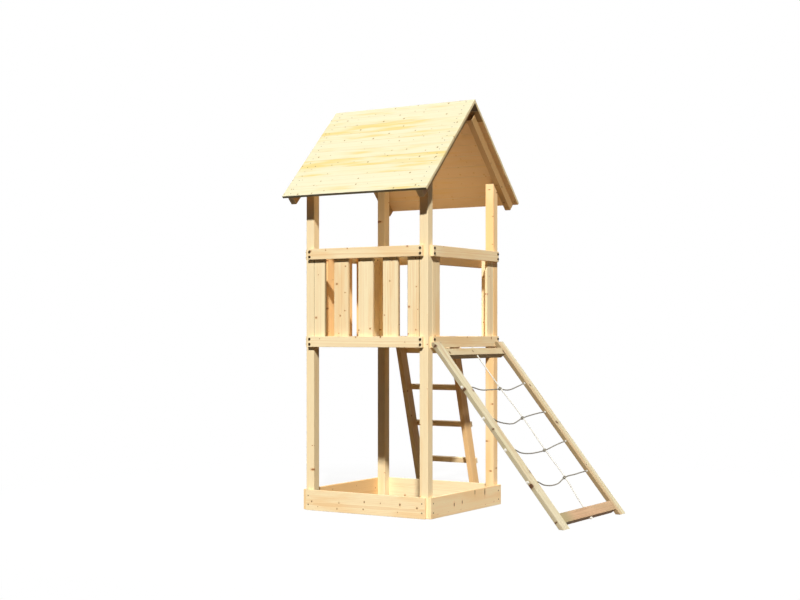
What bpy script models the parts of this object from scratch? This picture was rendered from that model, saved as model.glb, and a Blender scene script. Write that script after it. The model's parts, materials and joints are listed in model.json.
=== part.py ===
"""A timber play tower: four posts with a sandbox round their feet, a railed platform, a pitched
roof, a ladder at the back and a rope net ramp at the right.

Metres, +Z up, standing on z = 0. The front looks along -Y and the ramp comes down towards +X. All
pieces hang from an empty at the middle of the four posts, and the empty stands where it centres
the whole object on the world's origin.
"""

import math

import bmesh
import bpy
from mathutils import Matrix, Vector

# Gap between faces that touch, and distance under which points are one
GAP = 0.0003
WELD = GAP / 10

# Posts
TOWER_WIDTH = 1.010
POST_SIDE = 0.066
POST_HEIGHT = 2.360
OUTER = TOWER_WIDTH / 2
INNER = OUTER - POST_SIDE
POST_CENTRE = OUTER - POST_SIDE / 2

# Sandbox round the posts' feet
SANDBOX_HEIGHT = 0.145
SANDBOX_THICKNESS = 0.025
SANDBOX_END_INSET = 0.011
SANDBOX_BACK_OVERHANG = 0.008
SANDBOX_SCREW_HEIGHTS = (0.28 * SANDBOX_HEIGHT, 0.72 * SANDBOX_HEIGHT)

# Rails outside the posts
RAIL_THICKNESS = 0.027
RAIL_HEIGHT = 0.076
RAIL_END_INSET = 0.031
PLATFORM_TOP = 1.240
HANDRAIL_TOP = 1.862
RAIL_SCREW_OFFSET = 0.018
RAIL_SCREW_CENTRE = 0.460
RAIL_FACE = OUTER + RAIL_THICKNESS

# Upright boards behind the rails
BOARD_THICKNESS = 0.018
BOARD_BOTTOM = 1.170
BOARD_TOP = 1.850
BOARD_SPANS = ((-0.438, -0.342), (-0.265, -0.143), (-0.061, 0.061), (0.143, 0.265), (0.342, 0.438))
END_SPANS = (BOARD_SPANS[0], BOARD_SPANS[-1])
NARROW_BACK_SPAN = (0.380, 0.438)
BOARD_INNER = OUTER - BOARD_THICKNESS

# Inner rail that ties the front boards to the back handrail
CROSS_RAIL_THICKNESS = 0.0277
CROSS_RAIL_FAR_SIDE = NARROW_BACK_SPAN[0] - GAP
CROSS_RAIL_BOTTOM = 1.745

# Floor on its joists
JOIST_THICKNESS = 0.028
JOIST_BOTTOM = PLATFORM_TOP - RAIL_HEIGHT
FLOOR_TOP = 1.238
FLOOR_THICKNESS = 0.022
FLOOR_BOARDS = 10
FLOOR_GROOVE = 0.003

# Roof and rafters, measured square to the slope
ROOF_SLOPE = math.radians(45)
ROOF_PEAK = 2.912
ROOF_HALF_LENGTH = 0.594
ROOF_BOARD_THICKNESS = 0.0191
ROOF_BOARD_PITCH = 0.097
ROOF_BOARDS = 10
ROOF_EAVE = 0.9617
ROOF_GROOVE = 0.0015
RAFTER_THICKNESS = 0.045
RAFTER_DEPTH = 0.060
RAFTER_TOP_CUT = 0.1203
RAFTER_SCREW = (0.486, 2.338)

# Ladder, leaning on the back platform rail
LADDER_LEAN = math.atan(0.291)
LADDER_LEFT = -0.400
LADDER_RIGHT = 0.117
LADDER_FOOT = 0.8708
LADDER_TOP = 1.236
LADDER_STILE_THICKNESS = 0.037
LADDER_STILE_DEPTH = 0.087
RUNG_HEIGHTS = (0.272, 0.558, 0.844, 1.130)
RUNG_WIDTH = 0.042
RUNG_THICKNESS = 0.024
RUNG_SCREW_OFFSET = 0.010

# Rope net ramp, leaning on the right platform rail
RAMP_START = RAIL_FACE + GAP
RAMP_HEIGHT = 1.2245
RAMP_FOOT = 1.517
RAMP_SLOPE = math.atan2(RAMP_HEIGHT, RAMP_FOOT - RAMP_START)
RAMP_STILE_TOP = 1.200
RAMP_STILE_WIDTH = 0.095
RAMP_THICKNESS = 0.028
BAR_THICKNESS = 0.047
RAMP_INNER = OUTER - RAMP_STILE_WIDTH
TOP_BAR = (0.086, 0.143)
BOTTOM_BAR = (1.450, 1.523)

# Ropes of the net: each row's place down the slope, then (y, drop) from one stile to the other
ROPE_DIAMETER = 0.009
ROPE_HOLE_RADIUS = 0.0058
ROPE_HOLE_END = 0.004
ROPE_HOLE_SIDES = 10
ROPE_STEP = 3 * ROPE_DIAMETER
ROPE_STRAIGHT = 2 * ROPE_DIAMETER
CURVE_PARTS = 24
ROPE_ROWS = (
    (0.405, ((-0.237, 0.026), (-0.080, 0.029), (0.021, 0.030), (0.159, 0.040), (0.320, 0.016))),
    (0.665, ((-0.310, 0.030), (-0.200, 0.049), (-0.083, 0.056), (0.045, 0.028), (0.220, 0.009))),
    (0.925, ((-0.291, 0.032), (-0.150, 0.047), (-0.040, 0.047), (0.060, 0.043), (0.240, 0.018))),
    (1.185, ((-0.270, 0.038), (-0.150, 0.051), (-0.050, 0.045), (0.034, 0.018), (0.220, 0.007))),
)
CROSSINGS = (2, 3, 3, 3)
CROSSING_LIFT = 0.0108

# Stop knots at the ropes' ends: (way out from the timber, radius), from the rope outwards
STOP_KNOT = ((0.0008, 0.006), (0.006, 0.011), (0.015, 0.011), (0.0205, 0.0055))

# Screw holes: radius and depth from the outer face, and how far outside it the drill starts
COACH_HOLE = (0.004, 0.0606)
WOOD_HOLE = (0.003, 0.0506)
RAFTER_HOLE = (0.005, 0.0806)
HOLE_SIDES = 6
DRILL_START = 0.004

# Coach screws that hold the rafters
SCREW_HEAD_RADIUS = 0.009
SCREW_HEAD_HEIGHT = 0.006
SCREW_SHANK_RADIUS = 0.0038
SCREW_LENGTH = 0.080
HEAD_SIDES = 6

# Where the posts' middle stands, so that the object's box is centred on the world's origin
TOWER_PLACE = (
    (ROOF_HALF_LENGTH - RAMP_FOOT) / 2,
    (ROOF_EAVE * math.cos(ROOF_SLOPE) - LADDER_FOOT - LADDER_STILE_DEPTH / math.cos(LADDER_LEAN)) / 2,
    0,
)


def new_collection(name):
    """Returns a new collection under the scene's own."""
    collection = bpy.data.collections.new(name)
    bpy.context.scene.collection.children.link(collection)
    return collection


def finish(name, colour, roughness, metallic=0.0):
    """Returns a Principled material of one colour."""
    material = bpy.data.materials.new(name)
    material.use_nodes = True
    shader = material.node_tree.nodes["Principled BSDF"]
    shader.inputs["Base Color"].default_value = (*colour, 1)
    shader.inputs["Roughness"].default_value = roughness
    shader.inputs["Metallic"].default_value = metallic
    return material


def add_piece(name, mesh, material, location=(0, 0, 0), rotation=(0, 0, 0)):
    """Adds an object for a mesh to the tower, placed from the posts' middle."""
    piece = bpy.data.objects.new(name, mesh)
    piece.location = location
    piece.rotation_euler = rotation
    piece.parent = tower_centre
    mesh.materials.clear()
    mesh.materials.append(material)
    tower.objects.link(piece)
    return piece


def mesh_of(bm, name):
    """Moves a bmesh into a new mesh and frees it."""
    mesh = bpy.data.meshes.new(name)
    bm.to_mesh(mesh)
    bm.free()
    return mesh


def timber(name, size, centre, material, rotation=(0, 0, 0)):
    """Adds one straight piece of timber by its size, centre and tilt."""
    bm = bmesh.new()
    bmesh.ops.create_cube(bm, size=1, matrix=Matrix.Diagonal((*size, 1)))
    return add_piece(name, mesh_of(bm, name), material, centre, rotation)


def timber_between(name, low, high, material):
    """Adds one straight piece of timber by its lowest and highest corners."""
    size = [b - a for a, b in zip(low, high)]
    centre = [(a + b) / 2 for a, b in zip(low, high)]
    return timber(name, size, centre, material)


def sawn(name, outline, thickness, centre, turn, material):
    """Adds timber sawn to a closed outline, a list of points on a plane across its thickness."""
    curve = bpy.data.curves.new(name, "CURVE")
    curve.dimensions = "2D"
    curve.fill_mode = "BOTH"
    curve.extrude = thickness / 2
    spline = curve.splines.new("POLY")
    spline.points.add(len(outline) - 1)
    spline.use_cyclic_u = True
    for point, corner in zip(spline.points, outline):
        point.co = (*corner, 0, 1)
    guide = bpy.data.objects.new(name, curve)
    tower.objects.link(guide)
    graph = bpy.context.evaluated_depsgraph_get()
    mesh = bpy.data.meshes.new_from_object(guide.evaluated_get(graph))
    bpy.data.objects.remove(guide)
    bpy.data.curves.remove(curve)
    bm = bmesh.new()
    bm.from_mesh(mesh)
    bmesh.ops.remove_doubles(bm, verts=bm.verts, dist=WELD)
    bm.to_mesh(mesh)
    bm.free()
    return add_piece(name, mesh, material, centre, turn)


# Turns that stand an outline up: one of (y, z) points spreads along X, one of (x, z) along Y
ACROSS_X = (math.pi / 2, 0, math.pi / 2)
ACROSS_Y = (math.pi / 2, 0, 0)


def turned(name, profile, sides):
    """Returns the mesh of a profile of (radius, height) points turned about Z."""
    bm = bmesh.new()
    rim = [bm.verts.new((radius, 0, height)) for radius, height in profile]
    for start, end in zip(rim, rim[1:]):
        bm.edges.new((start, end))
    guide = bpy.data.objects.new(name, mesh_of(bm, name))
    tower.objects.link(guide)
    screw = guide.modifiers.new("turn", "SCREW")
    screw.steps = sides
    screw.render_steps = sides
    screw.use_merge_vertices = True
    screw.merge_threshold = WELD
    graph = bpy.context.evaluated_depsgraph_get()
    mesh = bpy.data.meshes.new_from_object(guide.evaluated_get(graph))
    bpy.data.objects.remove(guide)
    return mesh


def facing(point, direction):
    """Returns the place of something at a point whose +Z looks along a direction."""
    turn = Vector(direction).to_track_quat("Z", "Y").to_matrix().to_4x4()
    return Matrix.Translation(point) @ turn


def cut_away(piece, bm, purpose):
    """Cuts the solids of a bmesh out of a piece."""
    name = f"{piece.name}_{purpose}"
    cutter = bpy.data.objects.new(name, mesh_of(bm, name))
    cutter.parent = tower_centre
    cutter.hide_render = True
    cutter.display_type = "WIRE"
    cutters.objects.link(cutter)
    cut = piece.modifiers.new(purpose, "BOOLEAN")
    cut.operation = "DIFFERENCE"
    cut.object = cutter


def drill(piece, places, size, sides=HOLE_SIDES):
    """Cuts holes of one radius and depth into a piece, at places whose +Z looks out of its surface."""
    radius, depth = size
    middle = Matrix.Translation((0, 0, (DRILL_START - depth) / 2))
    bm = bmesh.new()
    for place in places:
        bmesh.ops.create_cone(
            bm,
            cap_ends=True,
            segments=sides,
            radius1=radius,
            radius2=radius,
            depth=depth + DRILL_START,
            matrix=place @ middle,
        )
    cut_away(piece, bm, f"holes_{1000 * radius:.0f}")


def plan_hole(size, point, direction, pieces):
    """Notes a screw hole of one size through the pieces, from a point that faces a direction."""
    for piece in pieces:
        screw_holes.setdefault((piece, size), []).append(facing(point, direction))


def smooth_route(route, step):
    """Returns points a step apart on the smooth curve through a route, its two ends kept."""
    spans = [(end - start).length for start, end in zip(route, route[1:])]
    ways = [(end - start).normalized() for start, end in zip(route, route[1:])]
    slopes = [ways[0]]
    for way, next_way, span, next_span in zip(ways, ways[1:], spans, spans[1:]):
        slopes.append((way * next_span + next_way * span) / (span + next_span))
    slopes.append(ways[-1])
    fine = [route[0]]
    for start, end, span, leave, arrive in zip(route, route[1:], spans, slopes, slopes[1:]):
        for part in range(1, CURVE_PARTS + 1):
            t = part / CURVE_PARTS
            ease = t * t * (3 - 2 * t)
            bend = leave * (t * (1 - t) ** 2) - arrive * (t * t * (1 - t))
            fine.append(start.lerp(end, ease) + bend * span)
    lengths = [(b - a).length for a, b in zip(fine, fine[1:])]
    count = round(sum(lengths) / step)
    even_step = sum(lengths) / count
    points = [fine[0]]
    travelled = 0
    for start, end, length in zip(fine, fine[1:], lengths):
        while len(points) < count and travelled + length >= even_step * len(points):
            points.append(start.lerp(end, (even_step * len(points) - travelled) / length))
        travelled += length
    return [*points, fine[-1]]


def rope(name, route, material):
    """Adds a rope along the smooth curve through a route, with a stop knot at each end."""
    points = smooth_route([Vector(point) for point in route], ROPE_STEP)
    start_out = (points[0] - points[1]).normalized()
    end_out = (points[-1] - points[-2]).normalized()
    start_knot = [(points[0] + start_out * way, radius) for way, radius in reversed(STOP_KNOT)]
    end_knot = [(points[-1] + end_out * way, radius) for way, radius in STOP_KNOT]
    beads = [*start_knot, *[(point, ROPE_DIAMETER / 2) for point in points], *end_knot]
    curve = bpy.data.curves.new(name, "CURVE")
    curve.dimensions = "3D"
    curve.bevel_depth = ROPE_DIAMETER / 2
    curve.bevel_resolution = 2
    curve.use_fill_caps = True
    spline = curve.splines.new("POLY")
    spline.points.add(len(beads) - 1)
    spline.use_smooth = True
    for bead, (point, radius) in zip(spline.points, beads):
        bead.co = (*point, 1)
        bead.radius = radius / curve.bevel_depth
    piece = bpy.data.objects.new(name, curve)
    piece.parent = tower_centre
    curve.materials.append(material)
    tower.objects.link(piece)


def build_posts(wood):
    """Adds the four posts and returns them by side and end."""
    posts = {}
    for x_side, side in ((-1, "left"), (1, "right")):
        for y_side, end in ((-1, "front"), (1, "back")):
            posts[x_side, y_side] = timber(
                f"post_{end}_{side}",
                (POST_SIDE, POST_SIDE, POST_HEIGHT),
                (x_side * POST_CENTRE, y_side * POST_CENTRE, POST_HEIGHT / 2),
                wood,
            )
    return posts


def build_sandbox(posts, wood):
    """Adds the four sandbox boards with two screw holes at each end."""
    face = OUTER + SANDBOX_THICKNESS
    reach = OUTER - SANDBOX_END_INSET
    for y_side, end in ((-1, "front"), (1, "back")):
        low, high = sorted((y_side * (OUTER + GAP), y_side * face))
        board = timber_between(
            f"sandbox_board_{end}", (-reach, low, 0), (reach, high, SANDBOX_HEIGHT), wood
        )
        for x_side in (-1, 1):
            for height in SANDBOX_SCREW_HEIGHTS:
                point = (x_side * POST_CENTRE, y_side * face, height)
                plan_hole(WOOD_HOLE, point, (0, y_side, 0), (board, posts[x_side, y_side]))
    for x_side, side in ((-1, "left"), (1, "right")):
        low, high = sorted((x_side * (OUTER + GAP), x_side * face))
        board = timber_between(
            f"sandbox_board_{side}",
            (low, -OUTER, 0),
            (high, OUTER + SANDBOX_BACK_OVERHANG, SANDBOX_HEIGHT),
            wood,
        )
        for y_side in (-1, 1):
            for height in SANDBOX_SCREW_HEIGHTS:
                point = (x_side * face, y_side * POST_CENTRE, height)
                plan_hole(WOOD_HOLE, point, (x_side, 0, 0), (board, posts[x_side, y_side]))


def build_rails(posts, wood):
    """Adds a rail on each side at the platform and at hand height, with their screw holes."""
    reach = OUTER - RAIL_END_INSET
    near, far = OUTER + GAP, RAIL_FACE
    for kind, top in (("platform_rail", PLATFORM_TOP), ("handrail", HANDRAIL_TOP)):
        bottom = top - RAIL_HEIGHT
        heights = [(top + bottom) / 2 + offset for offset in (-RAIL_SCREW_OFFSET, RAIL_SCREW_OFFSET)]
        for y_side, end in ((-1, "front"), (1, "back")):
            low, high = sorted((y_side * near, y_side * far))
            rail = timber_between(f"{kind}_{end}", (-reach, low, bottom), (reach, high, top), wood)
            for x_side in (-1, 1):
                for height in heights:
                    point = (x_side * RAIL_SCREW_CENTRE, y_side * far, height)
                    plan_hole(COACH_HOLE, point, (0, y_side, 0), (rail, posts[x_side, y_side]))
        for x_side, side in ((-1, "left"), (1, "right")):
            low, high = sorted((x_side * near, x_side * far))
            rail = timber_between(f"{kind}_{side}", (low, -reach, bottom), (high, reach, top), wood)
            under_ramp = kind == "platform_rail" and side == "right"
            for y_side in (-1, 1):
                for height in heights[under_ramp:]:
                    point = (x_side * far, y_side * RAIL_SCREW_CENTRE, height)
                    plan_hole(COACH_HOLE, point, (x_side, 0, 0), (rail, posts[x_side, y_side]))


def build_boards(wood):
    """Adds the upright boards behind the rails and the inner cross rail."""
    for number, (start, end) in enumerate(BOARD_SPANS, 1):
        timber_between(
            f"front_board_{number}", (start, -OUTER, BOARD_BOTTOM), (end, -BOARD_INNER, BOARD_TOP), wood
        )
        timber_between(
            f"left_board_{number}", (-OUTER, start, BOARD_BOTTOM), (-BOARD_INNER, end, BOARD_TOP), wood
        )
    for number, (start, end) in enumerate(END_SPANS, 1):
        timber_between(
            f"right_board_{number}", (BOARD_INNER, start, BOARD_BOTTOM), (OUTER, end, BOARD_TOP), wood
        )
    for number, (start, end) in enumerate((END_SPANS[0], NARROW_BACK_SPAN), 1):
        timber_between(
            f"back_board_{number}", (start, BOARD_INNER, BOARD_BOTTOM), (end, OUTER, BOARD_TOP), wood
        )
    timber_between(
        "cross_rail",
        (CROSS_RAIL_FAR_SIDE - CROSS_RAIL_THICKNESS, GAP - BOARD_INNER, CROSS_RAIL_BOTTOM),
        (CROSS_RAIL_FAR_SIDE, OUTER, CROSS_RAIL_BOTTOM + RAIL_HEIGHT),
        wood,
    )


def build_floor(posts, wood):
    """Adds three joists between front and back, and on them a floor grooved into boards."""
    inner = BOARD_INNER - GAP
    joist_top = FLOOR_TOP - FLOOR_THICKNESS - GAP
    side_middle = INNER - GAP - JOIST_THICKNESS / 2
    for name, middle, back in (
        ("floor_joist_left", -side_middle, inner),
        ("floor_joist_middle", 0, OUTER),
        ("floor_joist_right", side_middle, inner),
    ):
        timber_between(
            name,
            (middle - JOIST_THICKNESS / 2, -inner, JOIST_BOTTOM),
            (middle + JOIST_THICKNESS / 2, back, joist_top),
            wood,
        )
    low, high = (-inner, -inner, FLOOR_TOP - FLOOR_THICKNESS), (inner, inner, FLOOR_TOP)
    floor = timber_between("floor_boards", low, high, wood)
    waste = bmesh.new()
    for number in range(1, FLOOR_BOARDS):
        place = Matrix.Translation((0, (2 * number / FLOOR_BOARDS - 1) * inner, FLOOR_TOP))
        groove = Matrix.Diagonal((3 * inner, FLOOR_GROOVE, 2 * FLOOR_GROOVE, 1))
        bmesh.ops.create_cube(waste, size=1, matrix=place @ groove)
    notch = POST_SIDE + 2 * GAP
    for post in posts.values():
        corner = Matrix.Translation((post.location.x, post.location.y, FLOOR_TOP))
        bmesh.ops.create_cube(waste, size=notch, matrix=corner)
    cut_away(floor, waste, "waste")


def roof_point(down, depth):
    """Returns (y, z) on the back slope, by the way down from the peak and the depth under its top."""
    along, across = math.cos(ROOF_SLOPE), math.sin(ROOF_SLOPE)
    return (down * along - depth * across, ROOF_PEAK - down * across - depth * along)


def roof_outline(y_side):
    """Returns one slope's (y, z) outline: eave cut square, ridge mitred, grooved between boards."""
    joints = [ROOF_EAVE - number * ROOF_BOARD_PITCH for number in range(1, ROOF_BOARDS)]
    upper = [(ROOF_EAVE, 0)]
    lower = [(ROOF_EAVE, ROOF_BOARD_THICKNESS)]
    for joint in joints:
        for shift, sunk in ((ROOF_GROOVE, 0), (0, ROOF_GROOVE), (-ROOF_GROOVE, 0)):
            upper.append((joint + shift, sunk))
            lower.append((joint + shift, ROOF_BOARD_THICKNESS - sunk))
    upper.append((GAP, 0))
    lower.append((GAP + ROOF_BOARD_THICKNESS * math.tan(ROOF_SLOPE), ROOF_BOARD_THICKNESS))
    corners = [roof_point(down, depth) for down, depth in (*upper, *reversed(lower))]
    return [(y * y_side, z) for y, z in corners]


def build_rafter(name, x_side, y_side, post, wood, steel):
    """Adds a rafter outside a post, cut square at both ends, and the coach screw that holds it."""
    upper = ROOF_BOARD_THICKNESS + GAP
    lower = ROOF_BOARD_THICKNESS + RAFTER_DEPTH
    corners = (
        roof_point(ROOF_EAVE, upper),
        roof_point(RAFTER_TOP_CUT, upper),
        roof_point(RAFTER_TOP_CUT, lower),
        roof_point(ROOF_EAVE, lower),
    )
    outline = [(y * y_side, z) for y, z in corners]
    middle = x_side * (OUTER + GAP + RAFTER_THICKNESS / 2)
    rafter = sawn(f"rafter_{name}", outline, RAFTER_THICKNESS, (middle, 0, 0), ACROSS_X, wood)
    across, height = RAFTER_SCREW
    face = (x_side * (OUTER + GAP + RAFTER_THICKNESS), y_side * across, height)
    plan_hole(RAFTER_HOLE, face, (x_side, 0, 0), (rafter, post))
    profile = (
        (0, SCREW_HEAD_HEIGHT),
        (SCREW_HEAD_RADIUS, SCREW_HEAD_HEIGHT),
        (SCREW_HEAD_RADIUS, GAP),
        (SCREW_SHANK_RADIUS, GAP),
        (SCREW_SHANK_RADIUS, -SCREW_LENGTH),
        (0, -SCREW_LENGTH),
    )
    screw = f"rafter_screw_{name}"
    turn = (0, x_side * math.pi / 2, 0)
    add_piece(screw, turned(screw, profile, HEAD_SIDES), steel, face, turn)


def build_roof(posts, boards, wood, steel):
    """Adds the two slopes, and a rafter with its coach screw at each post."""
    for y_side, end in ((-1, "front"), (1, "back")):
        outline = roof_outline(y_side)
        sawn(f"roof_boards_{end}", outline, 2 * ROOF_HALF_LENGTH, (0, 0, 0), ACROSS_X, boards)
        for x_side, side in ((-1, "left"), (1, "right")):
            build_rafter(f"{end}_{side}", x_side, y_side, posts[x_side, y_side], wood, steel)


def build_ladder(wood):
    """Adds two leaning stiles, cut level at the foot and plumb at the rail, and four rungs."""
    slope = math.tan(LADDER_LEAN)
    deep = LADDER_STILE_DEPTH / math.cos(LADDER_LEAN)
    rail = RAIL_FACE + GAP
    outline = (
        (LADDER_FOOT, 0),
        (LADDER_FOOT + deep, 0),
        (LADDER_FOOT + deep - slope * LADDER_TOP, LADDER_TOP),
        (rail, LADDER_TOP),
        (rail, (LADDER_FOOT - rail) / slope),
    )
    stiles = []
    for side, start in (("left", LADDER_LEFT), ("right", LADDER_RIGHT - LADDER_STILE_THICKNESS)):
        middle = start + LADDER_STILE_THICKNESS / 2
        stile = sawn(
            f"ladder_stile_{side}", outline, LADDER_STILE_THICKNESS, (middle, 0, 0), ACROSS_X, wood
        )
        stiles.append((middle, stile))
    up = Vector((0, -math.sin(LADDER_LEAN), math.cos(LADDER_LEAN)))
    out = Vector((0, math.cos(LADDER_LEAN), math.sin(LADDER_LEAN)))
    for number, height in enumerate(RUNG_HEIGHTS, 1):
        offset = out * (LADDER_STILE_DEPTH + GAP + RUNG_THICKNESS / 2)
        climb = (height - offset.z) / up.z
        centre = Vector(((LADDER_LEFT + LADDER_RIGHT) / 2, LADDER_FOOT, 0)) + up * climb + offset
        rung = timber(
            f"ladder_rung_{number}",
            (LADDER_RIGHT - LADDER_LEFT, RUNG_THICKNESS, RUNG_WIDTH),
            centre,
            wood,
            (LADDER_LEAN, 0, 0),
        )
        for middle, stile in stiles:
            for shift in (-RUNG_SCREW_OFFSET, RUNG_SCREW_OFFSET):
                point = centre + out * (RUNG_THICKNESS / 2) + up * shift
                point.x = middle
                plan_hole(WOOD_HOLE, point, out, (rung, stile))


def ramp_point(down, depth, y=0.0):
    """Returns a point of the ramp, by the way down from its top and the depth under its face."""
    along, across = math.cos(RAMP_SLOPE), math.sin(RAMP_SLOPE)
    return Vector(
        (RAMP_START + down * along - depth * across, y, RAMP_HEIGHT - down * across - depth * along)
    )


def build_ramp_frame(wood, bar_wood):
    """Adds the ramp's two stiles and two crossbars, drilled for the ropes."""
    level = RAMP_FOOT - RAMP_THICKNESS / math.sin(RAMP_SLOPE)
    outline = (
        (RAMP_START, RAMP_STILE_TOP),
        (RAMP_START + (RAMP_HEIGHT - RAMP_STILE_TOP) / math.tan(RAMP_SLOPE), RAMP_STILE_TOP),
        (RAMP_FOOT, 0),
        (level, 0),
        (RAMP_START, RAMP_HEIGHT - RAMP_THICKNESS / math.cos(RAMP_SLOPE)),
    )
    for y_side, side in ((-1, "front"), (1, "back")):
        middle = y_side * (RAMP_INNER + OUTER) / 2
        stile = sawn(
            f"ramp_stile_{side}", outline, RAMP_STILE_WIDTH, (0, middle, 0), ACROSS_Y, wood
        )
        places = [
            facing(ramp_point(down, RAMP_THICKNESS / 2, y_side * OUTER), (0, y_side, 0))
            for down, _ in ROPE_ROWS
        ]
        drill(stile, places, (ROPE_HOLE_RADIUS, RAMP_STILE_WIDTH + ROPE_HOLE_END), ROPE_HOLE_SIDES)
    downhill = ramp_point(1, 0) - ramp_point(0, 0)
    for name, (start, end), bar_material in (
        ("ramp_crossbar_top", TOP_BAR, wood),
        ("ramp_crossbar_bottom", BOTTOM_BAR, bar_wood),
    ):
        bar = timber(
            name,
            (end - start, 2 * (RAMP_INNER - GAP), BAR_THICKNESS),
            ramp_point((start + end) / 2, BAR_THICKNESS / 2),
            bar_material,
            (0, RAMP_SLOPE, 0),
        )
        place = facing(ramp_point(end, RAMP_THICKNESS / 2), downhill)
        drill(bar, [place], (ROPE_HOLE_RADIUS, end - start + ROPE_HOLE_END), ROPE_HOLE_SIDES)


def rope_row_route(down, sags):
    """Returns a row's route: straight through one stile, sagging to the other and straight out."""
    start = ramp_point(down, RAMP_THICKNESS / 2)
    straight = (OUTER, RAMP_INNER + RAMP_STILE_WIDTH / 2, RAMP_INNER)
    hung = [start + Vector((0, y, -drop)) for y, drop in sags]
    return [
        *[start + Vector((0, -y, 0)) for y in straight],
        *hung,
        *[start + Vector((0, y, 0)) for y in reversed(straight)],
    ]


def centre_rope_route():
    """Returns the long rope's route: through the top bar, over each row and through the bottom bar."""
    middle = RAMP_THICKNESS / 2
    lift = ramp_point(0, -CROSSING_LIFT) - ramp_point(0, 0)
    top = (TOP_BAR[0], sum(TOP_BAR) / 2, TOP_BAR[1], TOP_BAR[1] + ROPE_STRAIGHT)
    bottom = (BOTTOM_BAR[0] - ROPE_STRAIGHT, BOTTOM_BAR[0], sum(BOTTOM_BAR) / 2, BOTTOM_BAR[1])
    route = [ramp_point(down, middle) for down in top]
    for (down, sags), crossing in zip(ROPE_ROWS, CROSSINGS):
        y, drop = sags[crossing]
        route.append(ramp_point(down, middle, y) + Vector((0, 0, -drop)) + lift)
    return route + [ramp_point(down, middle) for down in bottom]


def build_net(fibre):
    """Adds the ropes of the net: four rows, and the long one over them."""
    for number, (down, sags) in enumerate(ROPE_ROWS, 1):
        rope(f"ramp_rope_{number}", rope_row_route(down, sags), fibre)
    rope("ramp_rope_centre", centre_rope_route(), fibre)


for leftover in list(bpy.data.objects):
    bpy.data.objects.remove(leftover)

tower = new_collection("play_tower")
cutters = new_collection("cutters")
tower_centre = bpy.data.objects.new("tower_centre", None)
tower_centre.location = TOWER_PLACE
tower.objects.link(tower_centre)

planed_spruce = finish("planed_spruce", (0.85, 0.64, 0.36), 0.6)
roof_spruce = finish("roof_spruce", (0.92, 0.79, 0.47), 0.6)
treated_pine = finish("treated_pine", (0.58, 0.46, 0.29), 0.7)
red_pine = finish("red_pine", (0.52, 0.32, 0.19), 0.7)
grey_rope = finish("grey_rope", (0.55, 0.56, 0.53), 0.85)
dark_steel = finish("dark_steel", (0.06, 0.05, 0.045), 0.45, 0.8)

screw_holes = {}
tower_posts = build_posts(planed_spruce)
build_sandbox(tower_posts, planed_spruce)
build_rails(tower_posts, planed_spruce)
build_boards(planed_spruce)
build_floor(tower_posts, planed_spruce)
build_roof(tower_posts, roof_spruce, planed_spruce, dark_steel)
build_ladder(planed_spruce)
build_ramp_frame(treated_pine, red_pine)
build_net(grey_rope)
for (drilled, hole_size), hole_places in screw_holes.items():
    drill(drilled, hole_places, hole_size)
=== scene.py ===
"""A play tower: four posts, a sandbox, a platform, a saddle roof, a leaning ladder and a net ramp.

Every timber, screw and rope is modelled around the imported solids, in metres, and dressed in
procedural finishes. Sizes are in the tower's own frame, whose origin is on the ground midway
between the four posts; TOWER_CENTRE takes them to the frame of the model.
"""

import json
import logging
import math
import random
from dataclasses import dataclass, field
from enum import Enum
from typing import Any, Callable, Sequence

import bpy
from mathutils import Matrix, Vector

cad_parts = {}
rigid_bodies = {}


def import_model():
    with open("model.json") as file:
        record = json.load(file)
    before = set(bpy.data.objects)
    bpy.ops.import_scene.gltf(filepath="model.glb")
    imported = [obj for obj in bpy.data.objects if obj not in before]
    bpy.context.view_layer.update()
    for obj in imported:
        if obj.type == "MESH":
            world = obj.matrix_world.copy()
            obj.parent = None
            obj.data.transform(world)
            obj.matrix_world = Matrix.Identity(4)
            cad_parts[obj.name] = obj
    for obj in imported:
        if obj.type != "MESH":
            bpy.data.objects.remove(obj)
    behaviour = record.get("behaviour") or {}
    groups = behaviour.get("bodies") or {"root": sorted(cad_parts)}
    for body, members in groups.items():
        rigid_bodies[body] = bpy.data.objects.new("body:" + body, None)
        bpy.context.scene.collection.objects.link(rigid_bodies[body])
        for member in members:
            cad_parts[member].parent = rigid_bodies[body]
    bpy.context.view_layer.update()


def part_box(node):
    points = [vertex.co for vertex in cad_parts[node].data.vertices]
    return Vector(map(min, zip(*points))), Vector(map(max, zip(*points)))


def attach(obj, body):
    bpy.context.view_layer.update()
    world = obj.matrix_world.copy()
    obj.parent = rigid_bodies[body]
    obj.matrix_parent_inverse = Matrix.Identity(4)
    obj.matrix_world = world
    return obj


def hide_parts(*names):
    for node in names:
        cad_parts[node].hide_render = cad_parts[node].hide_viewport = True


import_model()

log = logging.getLogger("play_tower")

Colour = tuple[float, float, float]
Span = tuple[float, float]
Aim = tuple[Vector, Vector]
Socket = bpy.types.NodeSocket
Piece = bpy.types.Object
Material = bpy.types.Material

BODY = "root"
GAP = 0.0003
DEEP = Vector((0, 1, 0))
UP = Vector((0, 0, 1))

FRONT_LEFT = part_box("post_front_left")[0]
BACK_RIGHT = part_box("post_back_right")[1]
TOWER_CENTRE = Vector(((FRONT_LEFT.x + BACK_RIGHT.x) / 2, (FRONT_LEFT.y + BACK_RIGHT.y) / 2, 0))
OUTER = (BACK_RIGHT.x - FRONT_LEFT.x) / 2
POST_SIDE = 0.066
POST_CENTRE = OUTER - POST_SIDE / 2
RAIL_THICKNESS = 0.027
RAIL_FACE = OUTER + RAIL_THICKNESS


class Slot(Enum):
    """The record's material slots."""

    PLANED = "planed_spruce"
    ROOF = "roof_spruce"
    TREATED = "treated_pine"
    RED = "red_pine"
    ROPE = "grey_rope"
    STEEL = "dark_steel"


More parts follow.
